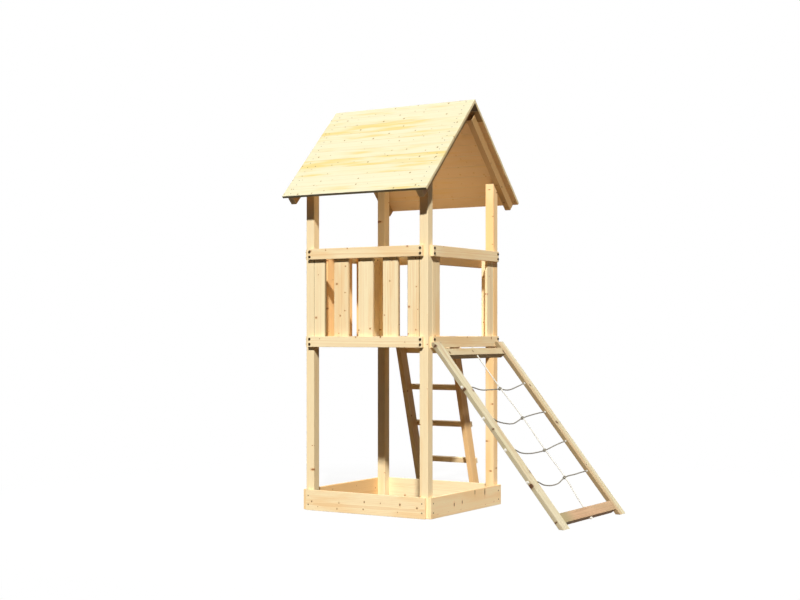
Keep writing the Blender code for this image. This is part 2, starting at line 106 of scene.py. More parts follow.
class Side(Enum):
    """The two ends of an axis, by their sign."""

    LOW = -1
    HIGH = 1

    @property
    def across(self) -> str:
        """The side's name along the width."""
        return "left" if self is Side.LOW else "right"

    @property
    def deep(self) -> str:
        """The side's name along the depth."""
        return "front" if self is Side.LOW else "back"


def linear(colour: Colour) -> tuple[float, float, float, float]:
    """Turns a colour as it is seen on a screen, 0 to 255, into the linear one that shaders take.

    Args:
        colour: Red, green and blue from 0 to 255.

    Returns:
        The linear colour with an alpha of one.
    """
    toe, slope, offset, scale, power = 0.04045, 12.92, 0.055, 1.055, 2.4
    parts = [part / 255 for part in colour]
    bent = [part / slope if part <= toe else ((part + offset) / scale) ** power for part in parts]
    return (bent[0], bent[1], bent[2], 1.0)


def in_tower(x: float, y: float, z: float) -> Vector:
    """Returns the model's point for a point in the tower's own frame."""
    return TOWER_CENTRE + Vector((x, y, z))


def axes(along: Vector, across: Vector, origin: Vector) -> Matrix:
    """Returns the place of an object from where its own x and y axes point.

    Args:
        along: Direction of its x axis.
        across: Direction of its y axis, square to the first.
        origin: Where its own origin goes.

    Returns:
        The matrix that takes its own points to the model.
    """
    place = Matrix((along, across, along.cross(across))).transposed().to_4x4()
    place.translation = origin
    return place


def standing(spot: Vector, way: Vector) -> Matrix:
    """Returns the place of an object that stands on a point, its own z axis along a way."""
    return Matrix.Translation(spot) @ way.to_track_quat("Z", "Y").to_matrix().to_4x4()


def ring(count: int, spot: Callable[[float], Vector]) -> list[Vector]:
    """Returns the points of a closed line, each from a function of its angle."""
    return [spot(2 * math.pi * number / count) for number in range(count)]


class Hands:
    """What is done by hand in the modeller: adding, choosing, cutting, joining and applying."""

    @staticmethod
    def let_go() -> None:
        """Deselects every object, so that the next operator acts on one piece alone."""
        for piece in list(bpy.context.selected_objects):
            piece.select_set(False)

    @staticmethod
    def take(*pieces: Piece) -> Piece:
        """Selects these pieces alone and makes the first one active.

        Args:
            pieces: What the next operator acts on.

        Returns:
            The first piece.
        """
        Hands.let_go()
        for piece in pieces:
            piece.select_set(True)
        bpy.context.view_layer.objects.active = pieces[0]
        return pieces[0]

    @staticmethod
    def settle(piece: Piece) -> Piece:
        """Moves a piece's place into its mesh, so that the object sits at the origin."""
        Hands.take(piece)
        bpy.ops.object.transform_apply(location=True, rotation=True, scale=True)
        return piece

    @staticmethod
    def block(middle: Vector, size: Sequence[float], turn: Sequence[float] = (0, 0, 0)) -> Piece:
        """Adds a block to start from.

        Args:
            middle: Where its middle lies.
            size: Its three sides.
            turn: How it is turned.

        Returns:
            The block, settled.
        """
        Hands.let_go()
        bpy.ops.mesh.primitive_cube_add(size=1, location=middle, rotation=turn, scale=size)
        return Hands.settle(bpy.context.object)

    @staticmethod
    def disc(sides: int, radius: float, depth: float, middle: float = 0) -> Piece:
        """Adds a disc round the z axis to start from.

        Args:
            sides: How many sides it has.
            radius: Radius over its corners.
            depth: How thick it is.
            middle: Height of its middle.

        Returns:
            The disc, settled.
        """
        Hands.let_go()
        bpy.ops.mesh.primitive_cylinder_add(
            vertices=sides, radius=radius, depth=depth, location=(0, 0, middle)
        )
        return Hands.settle(bpy.context.object)

    @staticmethod
    def apply(piece: Piece, modifier: bpy.types.Modifier) -> None:
        """Applies a modifier and leaves the piece active."""
        Hands.take(piece)
        bpy.ops.object.modifier_apply(modifier=modifier.name)

    @staticmethod
    def faces_of(piece: Piece, test: Callable[[bpy.types.MeshPolygon], bool]) -> None:
        """Selects, in edit mode, just the faces that pass a test.

        Args:
            piece: The piece that is in object mode.
            test: A function of a face that says whether it is wanted.
        """
        for part in (piece.data.vertices, piece.data.edges, piece.data.polygons):
            part.foreach_set("select", [False] * len(part))
        for face in piece.data.polygons:
            face.select = test(face)
        Hands.take(piece)
        bpy.ops.object.mode_set(mode="EDIT")
        bpy.ops.mesh.select_mode(type="FACE")

    @staticmethod
    def done() -> None:
        """Goes back from edit mode to object mode."""
        bpy.ops.object.mode_set(mode="OBJECT")

    @staticmethod
    def copy(piece: Piece, name: str, place: Matrix) -> Piece:
        """Copies a modelled piece with a mesh of its own.

        Args:
            piece: The piece that is repeated, at the origin.
            name: The copy's name.
            place: Where the copy goes.

        Returns:
            The copy, settled at its place.
        """
        twin = piece.copy()
        twin.data = piece.data.copy()
        twin.name = name
        twin.data.name = name
        bpy.context.scene.collection.objects.link(twin)
        twin.matrix_world = place
        return Hands.settle(twin)

    @staticmethod
    def join(pieces: Sequence[Piece], name: str) -> Piece:
        """Joins pieces into one object.

        Args:
            pieces: The pieces, of which the first one takes in the others.
            name: The joined piece's name.

        Returns:
            The joined piece.
        """
        whole = Hands.take(*pieces)
        if len(pieces) > 1:
            bpy.ops.object.join()
        whole.name = name
        whole.data.name = name
        return whole

    @staticmethod
    def drop(*pieces: Piece) -> None:
        """Removes pieces that were only models or cutters."""
        for piece in pieces:
            bpy.data.objects.remove(piece, do_unlink=True)


def hand_in(piece: Piece, material: Material, slot: Slot, *nodes: str) -> Piece:
    """Dresses a piece and ties it to the model.

    Args:
        piece: The finished piece.
        material: Its finish.
        slot: The record's slot that the finish belongs to; not used.
        nodes: The CAD nodes that the piece stands for.

    Returns:
        The same piece.
    """
    piece.data.materials.clear()
    piece.data.materials.append(material)
    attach(piece, BODY)
    if nodes:
        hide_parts(*nodes)
    return piece


class Graph:
    """Lays and links the nodes of one tree.

    Attributes:
        colour_inputs: Numbers of a Mix node's two colour inputs.
        colour_output: Number of its colour output.
    """

    colour_inputs = (6, 7)
    colour_output = 2

    def __init__(self, tree: bpy.types.NodeTree) -> None:
        """Starts on a tree."""
        self.tree = tree

    @classmethod
    def of_material(cls, name: str) -> tuple[Material, "Graph"]:
        """Starts a material.

        Args:
            name: The material's name.

        Returns:
            The material and the graph of its nodes.
        """
        material = bpy.data.materials.new(name)
        material.use_nodes = True
        return material, cls(material.node_tree)

    def feed(self, node: bpy.types.Node, inputs: dict[Any, Any]) -> bpy.types.Node:
        """Feeds a node's inputs.

        Args:
            node: The node.
            inputs: Values or sockets by the input's name or number.

        Returns:
            The same node.
        """
        for key, value in inputs.items():
            if isinstance(value, Socket):
                self.tree.links.new(value, node.inputs[key])
            else:
                node.inputs[key].default_value = value
        return node

    def feed_shader(self, inputs: dict[str, Any]) -> None:
        """Feeds the material's shader."""
        self.feed(self.tree.nodes["Principled BSDF"], inputs)

    def add(self, kind: str, inputs: dict[Any, Any] | None = None, **settings: Any) -> bpy.types.Node:
        """Adds a node, sets it and feeds its inputs.

        Args:
            kind: The node's type, without its ShaderNode prefix.
            inputs: Values or sockets by the input's name or number.
            settings: The node's own settings.

        Returns:
            The new node.
        """
        node = self.tree.nodes.new(f"ShaderNode{kind}")
        for name, value in settings.items():
            setattr(node, name, value)
        return self.feed(node, inputs or {})

    def attribute(self, label: str, output: str = "Fac") -> Socket:
        """Reads what is written on the piece under a label."""
        return self.add("Attribute", attribute_name=label).outputs[output]

    def math(self, operation: str, *values: Any, clamp: bool = False) -> Socket:
        """Adds a Math node and returns its result."""
        return self.add("Math", dict(enumerate(values)), operation=operation, use_clamp=clamp).outputs[0]

    def noise(self, place: Socket, stretch: Sequence[float], detail: float = 2.0) -> Socket:
        """Adds noise on coordinates that are scaled along each axis.

        Args:
            place: The coordinates.
            stretch: How many waves there are to a metre along each axis.
            detail: How many finer layers the noise has.

        Returns:
            The noise from 0 to 1.
        """
        scaled = self.add("VectorMath", {0: place, 1: tuple(stretch)}, operation="MULTIPLY").outputs[0]
        return self.add("TexNoise", {"Vector": scaled, "Scale": 1.0, "Detail": detail}).outputs["Fac"]

    def band(self, value: Any, low: Any, high: Any, start: Any = 0.0, end: Any = 1.0) -> Socket:
        """Adds a smooth step of a value between two limits.

        Args:
            value: What is stepped.
            low: The value at which the step starts.
            high: The value at which the step ends.
            start: The result at the low limit.
            end: The result at the high limit.

        Returns:
            The stepped value.
        """
        inputs = {"Value": value, "From Min": low, "From Max": high, "To Min": start, "To Max": end}
        return self.add("MapRange", inputs, interpolation_type="SMOOTHSTEP").outputs[0]

    def blend(self, share: Any, below: Any, above: Any, mode: str = "MIX") -> Socket:
        """Mixes two colours by a share and returns the result."""
        inputs = dict(zip((0, *self.colour_inputs), (share, below, above)))
        return self.add("Mix", inputs, data_type="RGBA", blend_type=mode).outputs[self.colour_output]

    def reach(self, first: Socket, second: Socket) -> Socket:
        """Returns the length of a way from its two parts, which are square to each other."""
        squares = [self.math("POWER", part, 2) for part in (first, second)]
        return self.math("SQRT", self.math("ADD", *squares))


def new_group(name: str, inputs: dict[str, tuple[str, Any]], outputs: Sequence[str]) -> Graph:
    """Starts a shader node group with named sockets.

    Args:
        name: The group's name.
        inputs: The kind of socket and its first value, by name.
        outputs: The names of the outputs, all of them numbers.

    Returns:
        The graph of the group, whose nodes hold an input and an output node.
    """
    tree = bpy.data.node_groups.new(name, "ShaderNodeTree")
    for socket_name, (kind, value) in inputs.items():
        socket = tree.interface.new_socket(socket_name, in_out="INPUT", socket_type=f"NodeSocket{kind}")
        socket.default_value = value
    for socket_name in outputs:
        tree.interface.new_socket(socket_name, in_out="OUTPUT", socket_type="NodeSocketFloat")
    tree.nodes.new("NodeGroupInput")
    tree.nodes.new("NodeGroupOutput")
    return Graph(tree)


class TimberGrain:
    """The shared effect of sawn conifer wood: rings, fibres, streaks and knots in whorls."""

    name = "timber grain"
    outputs = ("Rings", "Fibres", "Streaks", "Patches", "Heart", "Knots", "Knot Rims", "Height")

    @classmethod
    def build(cls) -> bpy.types.NodeTree:
        """Builds the group on coordinates whose x runs along the trunk and whose axis is its pith.

        Returns:
            The group's tree.
        """
        inputs = {
            "Grain": ("Vector", (0.0, 0.0, 0.0)),
            "Ring Spacing": ("Float", 0.004),
            "Waviness": ("Float", 0.006),
            "Whorl Spacing": ("Float", 0.3),
            "Whorl Order": ("Float", 0.8),
            "Knot Size": ("Float", 0.010),
            "Knot Share": ("Float", 0.6),
        }
        graph = new_group(cls.name, inputs, cls.outputs)
        given = graph.tree.nodes["Group Input"].outputs
        grain = given["Grain"]
        x, y, z = graph.add("SeparateXYZ", {0: grain}).outputs
        radius = graph.reach(y, z)
        angle = graph.math("ARCTAN2", z, y)
        knot, rim, swell = cls.knots(graph, given, x, radius, angle)
        drift = graph.math("SUBTRACT", graph.noise(grain, (1.3, 9, 9)), 0.5)
        bent = graph.math("MULTIPLY_ADD", drift, given["Waviness"], radius)
        bent = graph.math("MULTIPLY_ADD", swell, given["Knot Size"], bent)
        turn = graph.math("DIVIDE", bent, given["Ring Spacing"])
        within = graph.math("FRACT", turn)
        year = graph.add("TexWhiteNoise", {"W": graph.math("FLOOR", turn)}, noise_dimensions="1D")
        strength = graph.math("MULTIPLY_ADD", year.outputs[0], 0.7, 0.3)
        hardening = graph.band(within, 0.25, 0.9)
        ending = graph.band(within, 0.93, 1.0, 1.0, 0.0)
        rings = graph.math("MULTIPLY", graph.math("MULTIPLY", hardening, ending), strength)
        fibres = graph.noise(grain, (14, 900, 900), 3)
        streaks = graph.noise(grain, (2.4, 26, 26), 3)
        patches = graph.band(graph.noise(grain, (1.7, 9, 9), 1), 0.42, 0.6)
        heart = graph.band(bent, 0.05, 0.08, 1.0, 0.0)
        height = graph.math("MULTIPLY_ADD", fibres, 0.5, graph.math("MULTIPLY", rings, 0.6))
        height = graph.math("ADD", height, graph.math("MULTIPLY", knot, 0.8))
        made = dict(zip(cls.outputs, (rings, fibres, streaks, patches, heart, knot, rim, height)))
        graph.feed(graph.tree.nodes["Group Output"], made)
        return graph.tree

    @staticmethod
    def knots(graph: Graph, given: Any, x: Socket, radius: Socket, angle: Socket) -> tuple[Socket, ...]:
        """Adds branches that run out from the pith, as cells over its length and round it.

        Args:
            graph: The group's graph.
            given: The group's inputs.
            x: The way along the pith.
            radius: The distance from the pith.
            angle: The direction out of the pith.

        Returns:
            The knots, their rims, and the swell of the rings round them.
        """
        spread = 0.9
        cell_x = graph.math("DIVIDE", x, given["Whorl Spacing"])
        cell_angle = graph.math("DIVIDE", angle, spread)
        cells = graph.add("CombineXYZ", {0: cell_x, 1: cell_angle}).outputs[0]
        disorder = graph.math("SUBTRACT", 1.0, given["Whorl Order"])
        inputs = {"Vector": cells, "Scale": 1.0, "Randomness": disorder}
        whorls = graph.add("TexVoronoi", inputs, voronoi_dimensions="2D")
        middle = graph.add("SeparateXYZ", {0: whorls.outputs["Position"]}).outputs
        chance = graph.add("SeparateColor", {0: whorls.outputs["Color"]}).outputs
        jitter = graph.math("MULTIPLY", graph.math("SUBTRACT", chance[1], 0.5), disorder)
        off_x = graph.math("SUBTRACT", graph.math("SUBTRACT", cell_x, middle[0]), jitter)
        off_angle = graph.math("SUBTRACT", cell_angle, middle[1])
        way_x = graph.math("MULTIPLY", off_x, given["Whorl Spacing"])
        way_round = graph.math("MULTIPLY", graph.math("MULTIPLY", off_angle, spread), radius)
        distance = graph.reach(way_x, way_round)
        size = graph.math("MULTIPLY", given["Knot Size"], graph.math("MULTIPLY_ADD", chance[2], 1.0, 0.4))
        size = graph.math("MULTIPLY", size, graph.band(radius, 0.01, 0.07, 0.25, 1.0))
        there = graph.math("LESS_THAN", chance[0], given["Knot Share"])
        reach = graph.math("DIVIDE", distance, size)
        fades = ((0.75, 1.05, 1.0), (1.0, 2.6, 1.0), (0.0, 4.0, 1.6))
        return tuple(graph.math("MULTIPLY", graph.band(reach, *fade, 0.0), there) for fade in fades)


@dataclass(frozen=True)
class WoodFinish:
    """A kind of timber and how it was treated.

    Attributes:
        slot: The record's slot, which also names the material.
        early: Colour of the wide, soft part of a ring.
        late: Colour of the narrow, hard part of a ring.
        golden: Colour of the resin streaks.
        knot: Colour of a knot.
        dead_knot: Colour of a dead knot.
        cut: Colour of the end grain.
        weathered: Colour that lies over the wood where it has weathered.
        weathering: How much of that colour there is.
        under: Colour of the painted warm shade on the faces that look down, or None.
        heart: Colour of the wood near the pith, or None.
        streaks: How strong the streaks are.
        rings: How strong the rings are.
        fleck: How strong the dark fibres are.
        ring_spacing: Width of a ring.
        whorl_spacing: Way from one whorl of knots to the next.
        whorl_order: How evenly the whorls stand, from 0 to 1.
        knot_size: Radius of a middling knot.
        knot_share: Share of the places in the whorls that show a knot.
        more_knots: What dead knots add to that share.
        rim_share: How strong the rims of the knots are.
        cut_share: How strong the end grain's colour is.
        under_share: How strong that painted shade is.
        roughness: How matt the surface is.
        fibre_roughness: How much that varies with the fibres.
        knot_gloss: How much smoother a knot is.
        specular: Strength of the gloss.
        relief: Height of the grain.
    """

    slot: Slot
    early: Colour
    late: Colour
    golden: Colour
    knot: Colour
    cut: Colour
    weathered: Colour
    weathering: float = 0.0
    dead_knot: Colour = (62, 46, 26)
    under: Colour | None = None
    heart: Colour | None = None
    streaks: float = 0.5
    rings: float = 0.45
    fleck: float = 0.22
    ring_spacing: float = 0.0042
    whorl_spacing: float = 0.30
    whorl_order: float = 0.5
    knot_size: float = 0.009
    knot_share: float = 0.45
    more_knots: float = 0.35
    rim_share: float = 0.5
    cut_share: float = 0.6
    under_share: float = 0.7
    roughness: float = 0.58
    fibre_roughness: float = 0.16
    knot_gloss: float = 0.15
    specular: float = 0.35
    relief: float = 0.0004

    def build(self) -> Material:
        """Builds the material from the shared grain and the timber's own attributes.

        Returns:
            The material.
        """
        material, graph = Graph.of_material(self.slot.value)
        place = graph.attribute("grain", "Vector")
        tone = graph.attribute("tone")
        dead = graph.attribute("dead_knots")
        inputs = {
            "Grain": place,
            "Ring Spacing": self.ring_spacing,
            "Whorl Spacing": self.whorl_spacing,
            "Whorl Order": self.whorl_order,
            "Knot Size": self.knot_size,
            "Knot Share": graph.math("MULTIPLY_ADD", dead, self.more_knots, self.knot_share),
        }
        made = graph.add("Group", inputs, node_tree=bpy.data.node_groups[TimberGrain.name]).outputs
        gold = graph.band(graph.math("MULTIPLY_ADD", tone, 0.25, made["Streaks"]), 0.42, 0.72)
        gold = graph.math("MULTIPLY", gold, graph.math("MULTIPLY_ADD", made["Patches"], 0.75, 0.25))
        wholly = graph.math("MAXIMUM", graph.math("SUBTRACT", tone, 0.5), 0.0)
        gold = graph.math("MULTIPLY_ADD", gold, self.streaks, wholly, clamp=True)
        colour = graph.blend(gold, linear(self.early), linear(self.golden))
        if self.heart:
            colour = graph.blend(made["Heart"], colour, linear(self.heart))
        colour = graph.blend(graph.math("MULTIPLY", made["Rings"], self.rings), colour, linear(self.late))
        fleck = graph.band(made["Fibres"], 0.3, 0.75, 0.0, self.fleck)
        colour = graph.blend(fleck, colour, linear(self.late))
        if self.weathering:
            cloud = graph.band(graph.noise(place, (3, 40, 40), 4), 0.35, 0.7, 0.0, self.weathering)
            silver = graph.band(graph.attribute("silver"), 0.72, 0.97)
            colour = graph.blend(graph.math("MAXIMUM", cloud, silver), colour, linear(self.weathered))
        rim = graph.math("MULTIPLY", made["Knot Rims"], self.rim_share)
        colour = graph.blend(rim, colour, linear(self.late))
        knot = graph.blend(dead, linear(self.knot), linear(self.dead_knot))
        colour = graph.blend(made["Knots"], colour, knot)
        cut = graph.math("MULTIPLY", graph.attribute("end"), self.cut_share)
        colour = graph.blend(cut, colour, linear(self.cut))
        # The under colour is painted warm shade on the faces that look down.
        if self.under:
            under = graph.math("MULTIPLY", graph.attribute("under"), self.under_share)
            colour = graph.blend(under, colour, linear(self.under))
        # The shade attribute paints shade into a piece below 1 and light above 1, the shade warmer as it
        # darkens.
        shade = graph.attribute("shade")
        green, blue = graph.math("POWER", shade, 1.1), graph.math("POWER", shade, 1.3)
        dark = graph.add("CombineColor", {0: shade, 1: green, 2: blue}).outputs[0]
        colour = graph.blend(1.0, colour, dark, "MULTIPLY")
        least = self.roughness - self.fibre_roughness / 2
        rough = graph.math("MULTIPLY_ADD", made["Fibres"], self.fibre_roughness, least)
        rough = graph.math("MULTIPLY_ADD", made["Knots"], -self.knot_gloss, rough)
        bump = graph.add("Bump", {"Height": made["Height"], "Distance": self.relief, "Strength": 0.6})
        graph.feed_shader({"Base Color": colour, "Roughness": rough, "Normal": bump.outputs[0]})
        graph.feed_shader({"Specular IOR Level": self.specular})
        return material


@dataclass(frozen=True)
class SteelFinish:
    """Dark galvanised steel of the screws.

    Attributes:
        bright: Colour of the clean metal.
        dull: Colour where it has dulled.
        roughness: How matt the clean metal is.
    """

    bright: Colour = (84, 66, 40)
    dull: Colour = (50, 38, 22)
    roughness: float = 0.62

    def build(self) -> Material:
        """Builds the material, blotched and finely scratched.

        Returns:
            The material.
        """
        material, graph = Graph.of_material(Slot.STEEL.value)
        place = graph.add("TexCoord").outputs["Object"]
        blotch = graph.band(graph.noise(place, (260, 260, 260), 4), 0.35, 0.7)
        scratch = graph.noise(place, (900, 4000, 900), 2)
        colour = graph.blend(blotch, linear(self.bright), linear(self.dull))
        rough = graph.math("MULTIPLY_ADD", blotch, 0.3, self.roughness)
        bump = graph.add("Bump", {"Height": scratch, "Distance": 0.0001, "Strength": 0.4})
        graph.feed_shader({"Base Color": colour, "Roughness": rough, "Normal": bump.outputs[0]})
        graph.feed_shader({"Metallic": 0.3, "Specular IOR Level": 0.25})
        return material


@dataclass(frozen=True)
class RopeFinish:
    """Laid polypropylene rope.

    Attributes:
        name: The material's name.
        fibre: Colour of the yarns.
        groove: Colour in the grooves between the strands and yarns, darker than the yarns.
        yarns: How many yarns are counted along a metre of strand.
    """

    name: str
    fibre: Colour
    groove: Colour
    yarns: float = 900

    def build(self) -> Material:
        """Builds the material from where a point lies along and round the rope.

        Returns:
            The material.
        """
        material, graph = Graph.of_material(self.name)
        along, around, crown = graph.add("SeparateXYZ", {0: graph.attribute("lay", "Vector")}).outputs
        phase = graph.math("MULTIPLY_ADD", around, 18.0, graph.math("MULTIPLY", along, self.yarns))
        yarn = graph.math("MULTIPLY_ADD", graph.math("SINE", phase), 0.5, 0.5)
        fuzz = graph.noise(graph.add("TexCoord").outputs["Object"], (700, 700, 700), 3)
        # Darker in the grooves between the strands and between the yarns.
        low = graph.math("SUBTRACT", 1.0, crown)
        grooved = graph.math("MULTIPLY_ADD", low, 0.75, graph.math("MULTIPLY", yarn, 0.2), clamp=True)
        grooved = graph.math("MULTIPLY", grooved, graph.band(fuzz, 0.2, 0.7, 0.6, 1.0))
        colour = graph.blend(grooved, linear(self.fibre), linear(self.groove))
        height = graph.math("MULTIPLY_ADD", fuzz, 0.5, yarn)
        bump = graph.add("Bump", {"Height": height, "Distance": 0.0004, "Strength": 0.7})
        rough = graph.math("MULTIPLY_ADD", fuzz, 0.2, 0.7)
        graph.feed_shader({"Base Color": colour, "Roughness": rough, "Normal": bump.outputs[0]})
        graph.feed_shader({"Sheen Weight": 0.25})
        return material


@dataclass
class Finishes:
    """All finishes of the tower, as built materials.

    Attributes:
        planed: The tower's planed spruce.
        roof: The roof boards' spruce.
        treated: The ramp's treated pine.
        red: The ramp's reddish lower bar.
        steel: The screws and nails.
        rope: The net's grey ropes and its ties.
        pale_rope: The long rope, the stop knots and the whippings.
    """

    planed: Material
    roof: Material
    treated: Material
    red: Material
    steel: Material
    rope: Material
    pale_rope: Material

    @classmethod
    def build(cls) -> "Finishes":
        """Builds the shared group and every material.

        Returns:
            The set of materials.
        """
        TimberGrain.build()
        planed = WoodFinish(
            Slot.PLANED,
            early=(253, 237, 196),
            late=(226, 176, 116),
            golden=(243, 202, 143),
            knot=(164, 114, 70),
            cut=(244, 216, 168),
            weathered=(225, 190, 140),
            whorl_spacing=0.17,
            knot_size=0.0052,
            knot_share=0.5,
        )
        roof = WoodFinish(
            Slot.ROOF,
            early=(222, 218, 190),
            late=(210, 190, 134),
            golden=(218, 196, 118),
            knot=(118, 90, 50),
            cut=(226, 200, 148),
            weathered=(245, 235, 200),
            # Painted warm shade on the roof boards' undersides.
            under=(228, 180, 120),
            streaks=0.95,
            rings=0.28,
            knot_size=0.0042,
            knot_share=0.75,
            whorl_spacing=0.11,
        )
        treated = WoodFinish(
            Slot.TREATED,
            early=(229, 221, 194),
            late=(182, 160, 124),
            golden=(200, 172, 130),
            knot=(104, 70, 42),
            cut=(150, 122, 86),
            weathered=(206, 198, 158),
            weathering=0.5,
            streaks=0.8,
            rings=0.6,
            whorl_spacing=0.37,
            whorl_order=0.8,
            heart=(208, 180, 142),
            fleck=0.14,
            knot_size=0.0125,
            knot_share=0.95,
            roughness=0.72,
            relief=0.0005,
        )
        red = WoodFinish(
            Slot.RED,
            early=(213, 177, 142),
            late=(150, 110, 82),
            golden=(190, 146, 110),
            knot=(78, 46, 30),
            cut=(120, 84, 58),
            weathered=(172, 156, 118),
            weathering=0.4,
            rings=0.6,
            fleck=0.16,
            roughness=0.74,
            relief=0.0006,
        )
        rope = RopeFinish("grey_rope", (152, 146, 130), (94, 88, 76))
        pale_rope = RopeFinish("pale_rope", (238, 236, 228), (222, 219, 208))
        made = (planed, roof, treated, red, SteelFinish(), rope, pale_rope)
        return cls(*(finish.build() for finish in made))


@dataclass
class Timber:
    """A length of timber with its arrises taken off.

    Attributes:
        name: The piece's name.
        size: Length along the grain, width and thickness.
        place: The timber's own axes in the model, x along the grain, origin at its middle.
        material: Its finish.
        slot: The record's slot of the finish.
        nodes: The CAD nodes that it stands for.
        tone: How golden it is, from -1 to 1, or more where it is golden all over; above 1 on a few pieces
            it also paints warm bounced light.
        shade: Painted light and shade as a factor on its colour: below 1 it paints shade into the piece,
            above 1 light.
        edge_shade: Painted shade on the edges along its width: how light they are, next to its faces.
        under_shade: Painted shade on its underside: how light that is, next to its faces.
        dead_knots: How dark and frequent its knots are, from 0 as they usually are to 1.
        damp_edge: Whether the edge at the high side of its width gets painted shade.
        damp_shade: How light that painted shade leaves such an edge.
        silver: How much the end where its grain starts has weathered, from 0 to 1.
        arris: Radius of the edges.
        cuts: Planes that it is sawn off at, each a point and the way that the waste lies.
        notches: Boxes that are sawn out of it, each a lowest and a highest corner.
        pith: Where the pith of the log ran, across the width and the thickness.
        squeeze: How much closer its knots follow each other than is usual.
        grain_start: Where along the log the timber begins, or None to let its name decide.
    """

    name: str
    size: tuple[float, float, float]
    place: Matrix
    material: Material
    slot: Slot
    nodes: tuple[str, ...]
    tone: float | None = None
    shade: float = 1.0
    edge_shade: float = 1.0
    under_shade: float = 1.0
    dead_knots: float = 0.0
    damp_edge: bool = False
    damp_shade: float = 0.3
    silver: float = 0.0
    arris: float = 0.0022
    cuts: list[Aim] = field(default_factory=list)
    notches: list[Aim] = field(default_factory=list)
    pith: Span | None = None
    squeeze: float = 1.0
    grain_start: float | None = None

    def build(self) -> Piece:
        """Models the timber and hands it in.

        Returns:
            The piece.
        """
        piece = Hands.block(self.place.translation, self.size, self.place.to_euler())
        piece.name = self.name
        piece.data.name = self.name
        for low, high in self.notches:
            self.notch(piece, low, high)
        bpy.ops.object.mode_set(mode="EDIT")
        for point, way in self.cuts:
            bpy.ops.mesh.select_all(action="SELECT")
            bpy.ops.mesh.bisect(plane_co=point, plane_no=way, use_fill=True, clear_outer=True)
        bpy.ops.mesh.select_mode(type="EDGE")
        bpy.ops.mesh.select_all(action="SELECT")
        bpy.ops.mesh.bevel(offset=self.arris, segments=2, affect="EDGES", clamp_overlap=True)
        bpy.ops.mesh.select_all(action="SELECT")
        bpy.ops.mesh.normals_make_consistent(inside=False)
        Hands.done()
        self.mark_grain(piece.data)
        self.mark_faces(piece.data)
        return hand_in(piece, self.material, self.slot, *self.nodes)

    @staticmethod
    def notch(piece: Piece, low: Vector, high: Vector) -> None:
        """Saws a box out of a timber.

        Args:
            piece: The timber, in object mode.
            low: The box's lowest corner.
            high: The box's highest corner.
        """
        waste = Hands.block((low + high) / 2, high - low)
        cut = piece.modifiers.new("notch", "BOOLEAN")
        cut.object = waste
        cut.operation = "DIFFERENCE"
        cut.solver = "EXACT"
        Hands.apply(piece, cut)
        Hands.drop(waste)
        Hands.take(piece)

    def mark_grain(self, mesh: bpy.types.Mesh) -> None:
        """Writes where each point lay in the log, the tone, the knots and the weathered end.

        Args:
            mesh: The finished timber's mesh.
        """
        chance = random.Random(self.name)
        start = chance.uniform(0, 40) if self.grain_start is None else self.grain_start
        pith = self.pith or (chance.uniform(-0.03, 0.03), chance.uniform(0.05, 0.11))
        tone = chance.uniform(-0.35, 0.35) if self.tone is None else self.tone
        lean = chance.uniform(-0.012, 0.012)
        back = self.place.inverted()
        own_points = [back @ vertex.co for vertex in mesh.vertices]
        grain = mesh.attributes.new("grain", "FLOAT_VECTOR", "POINT")
        for item, own in zip(grain.data, own_points):
            item.vector = (start + own.x * self.squeeze, pith[0] + own.y + lean * own.x, pith[1] + own.z)
        silvers = [self.silver * (0.5 - own.x / self.size[0]) for own in own_points]
        tones, knots = ([value] * len(own_points) for value in (tone, self.dead_knots))
        for label, values in (("tone", tones), ("dead_knots", knots), ("silver", silvers)):
            mesh.attributes.new(label, "FLOAT", "POINT").data.foreach_set("value", values)

    def mark_faces(self, mesh: bpy.types.Mesh) -> None:
        """Writes which faces cross the grain, which look down, and the painted light and shade of each one.

        Args:
            mesh: The finished timber's mesh.
        """
        along, wide, thick = (self.place.col[axis].to_3d() for axis in range(3))
        square, slanting, overhung = 0.6, 0.3, -0.5
        ends, under, shades = [], [], []
        # Faces that look down take the painted warm under tint; edges, undersides and the high edge take
        # painted shade, times the piece's shade.
        for face in mesh.polygons:
            ends.append(float(abs(face.normal.dot(along)) > square))
            flat = abs(face.normal.dot(thick)) > square
            under.append(float(face.normal.z < overhung and flat))
            toward = face.normal.dot(wide)
            dark = self.under_shade if under[-1] else 1.0
            if abs(toward) > slanting:
                painted_high_edge = self.damp_edge and toward > square
                dark = self.damp_shade if painted_high_edge else self.edge_shade
            shades.append(self.shade * dark)
        for label, values in (("end", ends), ("under", under), ("shade", shades)):
            mesh.attributes.new(label, "FLOAT", "FACE").data.foreach_set("value", values)


def timber_of(node: str, material: Material, slot: Slot, **more: Any) -> Timber:
    """Plans a timber that fills a CAD node's box, with its grain along the longest side.

    Args:
        node: The node, whose faces lie square to the model's axes.
        material: Its finish.
        slot: The record's slot of the finish.
        more: Any other field of the timber.

    Returns:
        The planned timber.
    """
    low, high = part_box(node)
    spans = high - low
    order = sorted(range(3), key=lambda axis: -spans[axis])
    ways = [Vector([float(axis == way) for axis in range(3)]) for way in order]
    place = axes(ways[0], ways[1], (low + high) / 2)
    size = (spans[order[0]], spans[order[1]], spans[order[2]])
    return Timber(f"{node}_timber", size, place, material, slot, (node,), **more)


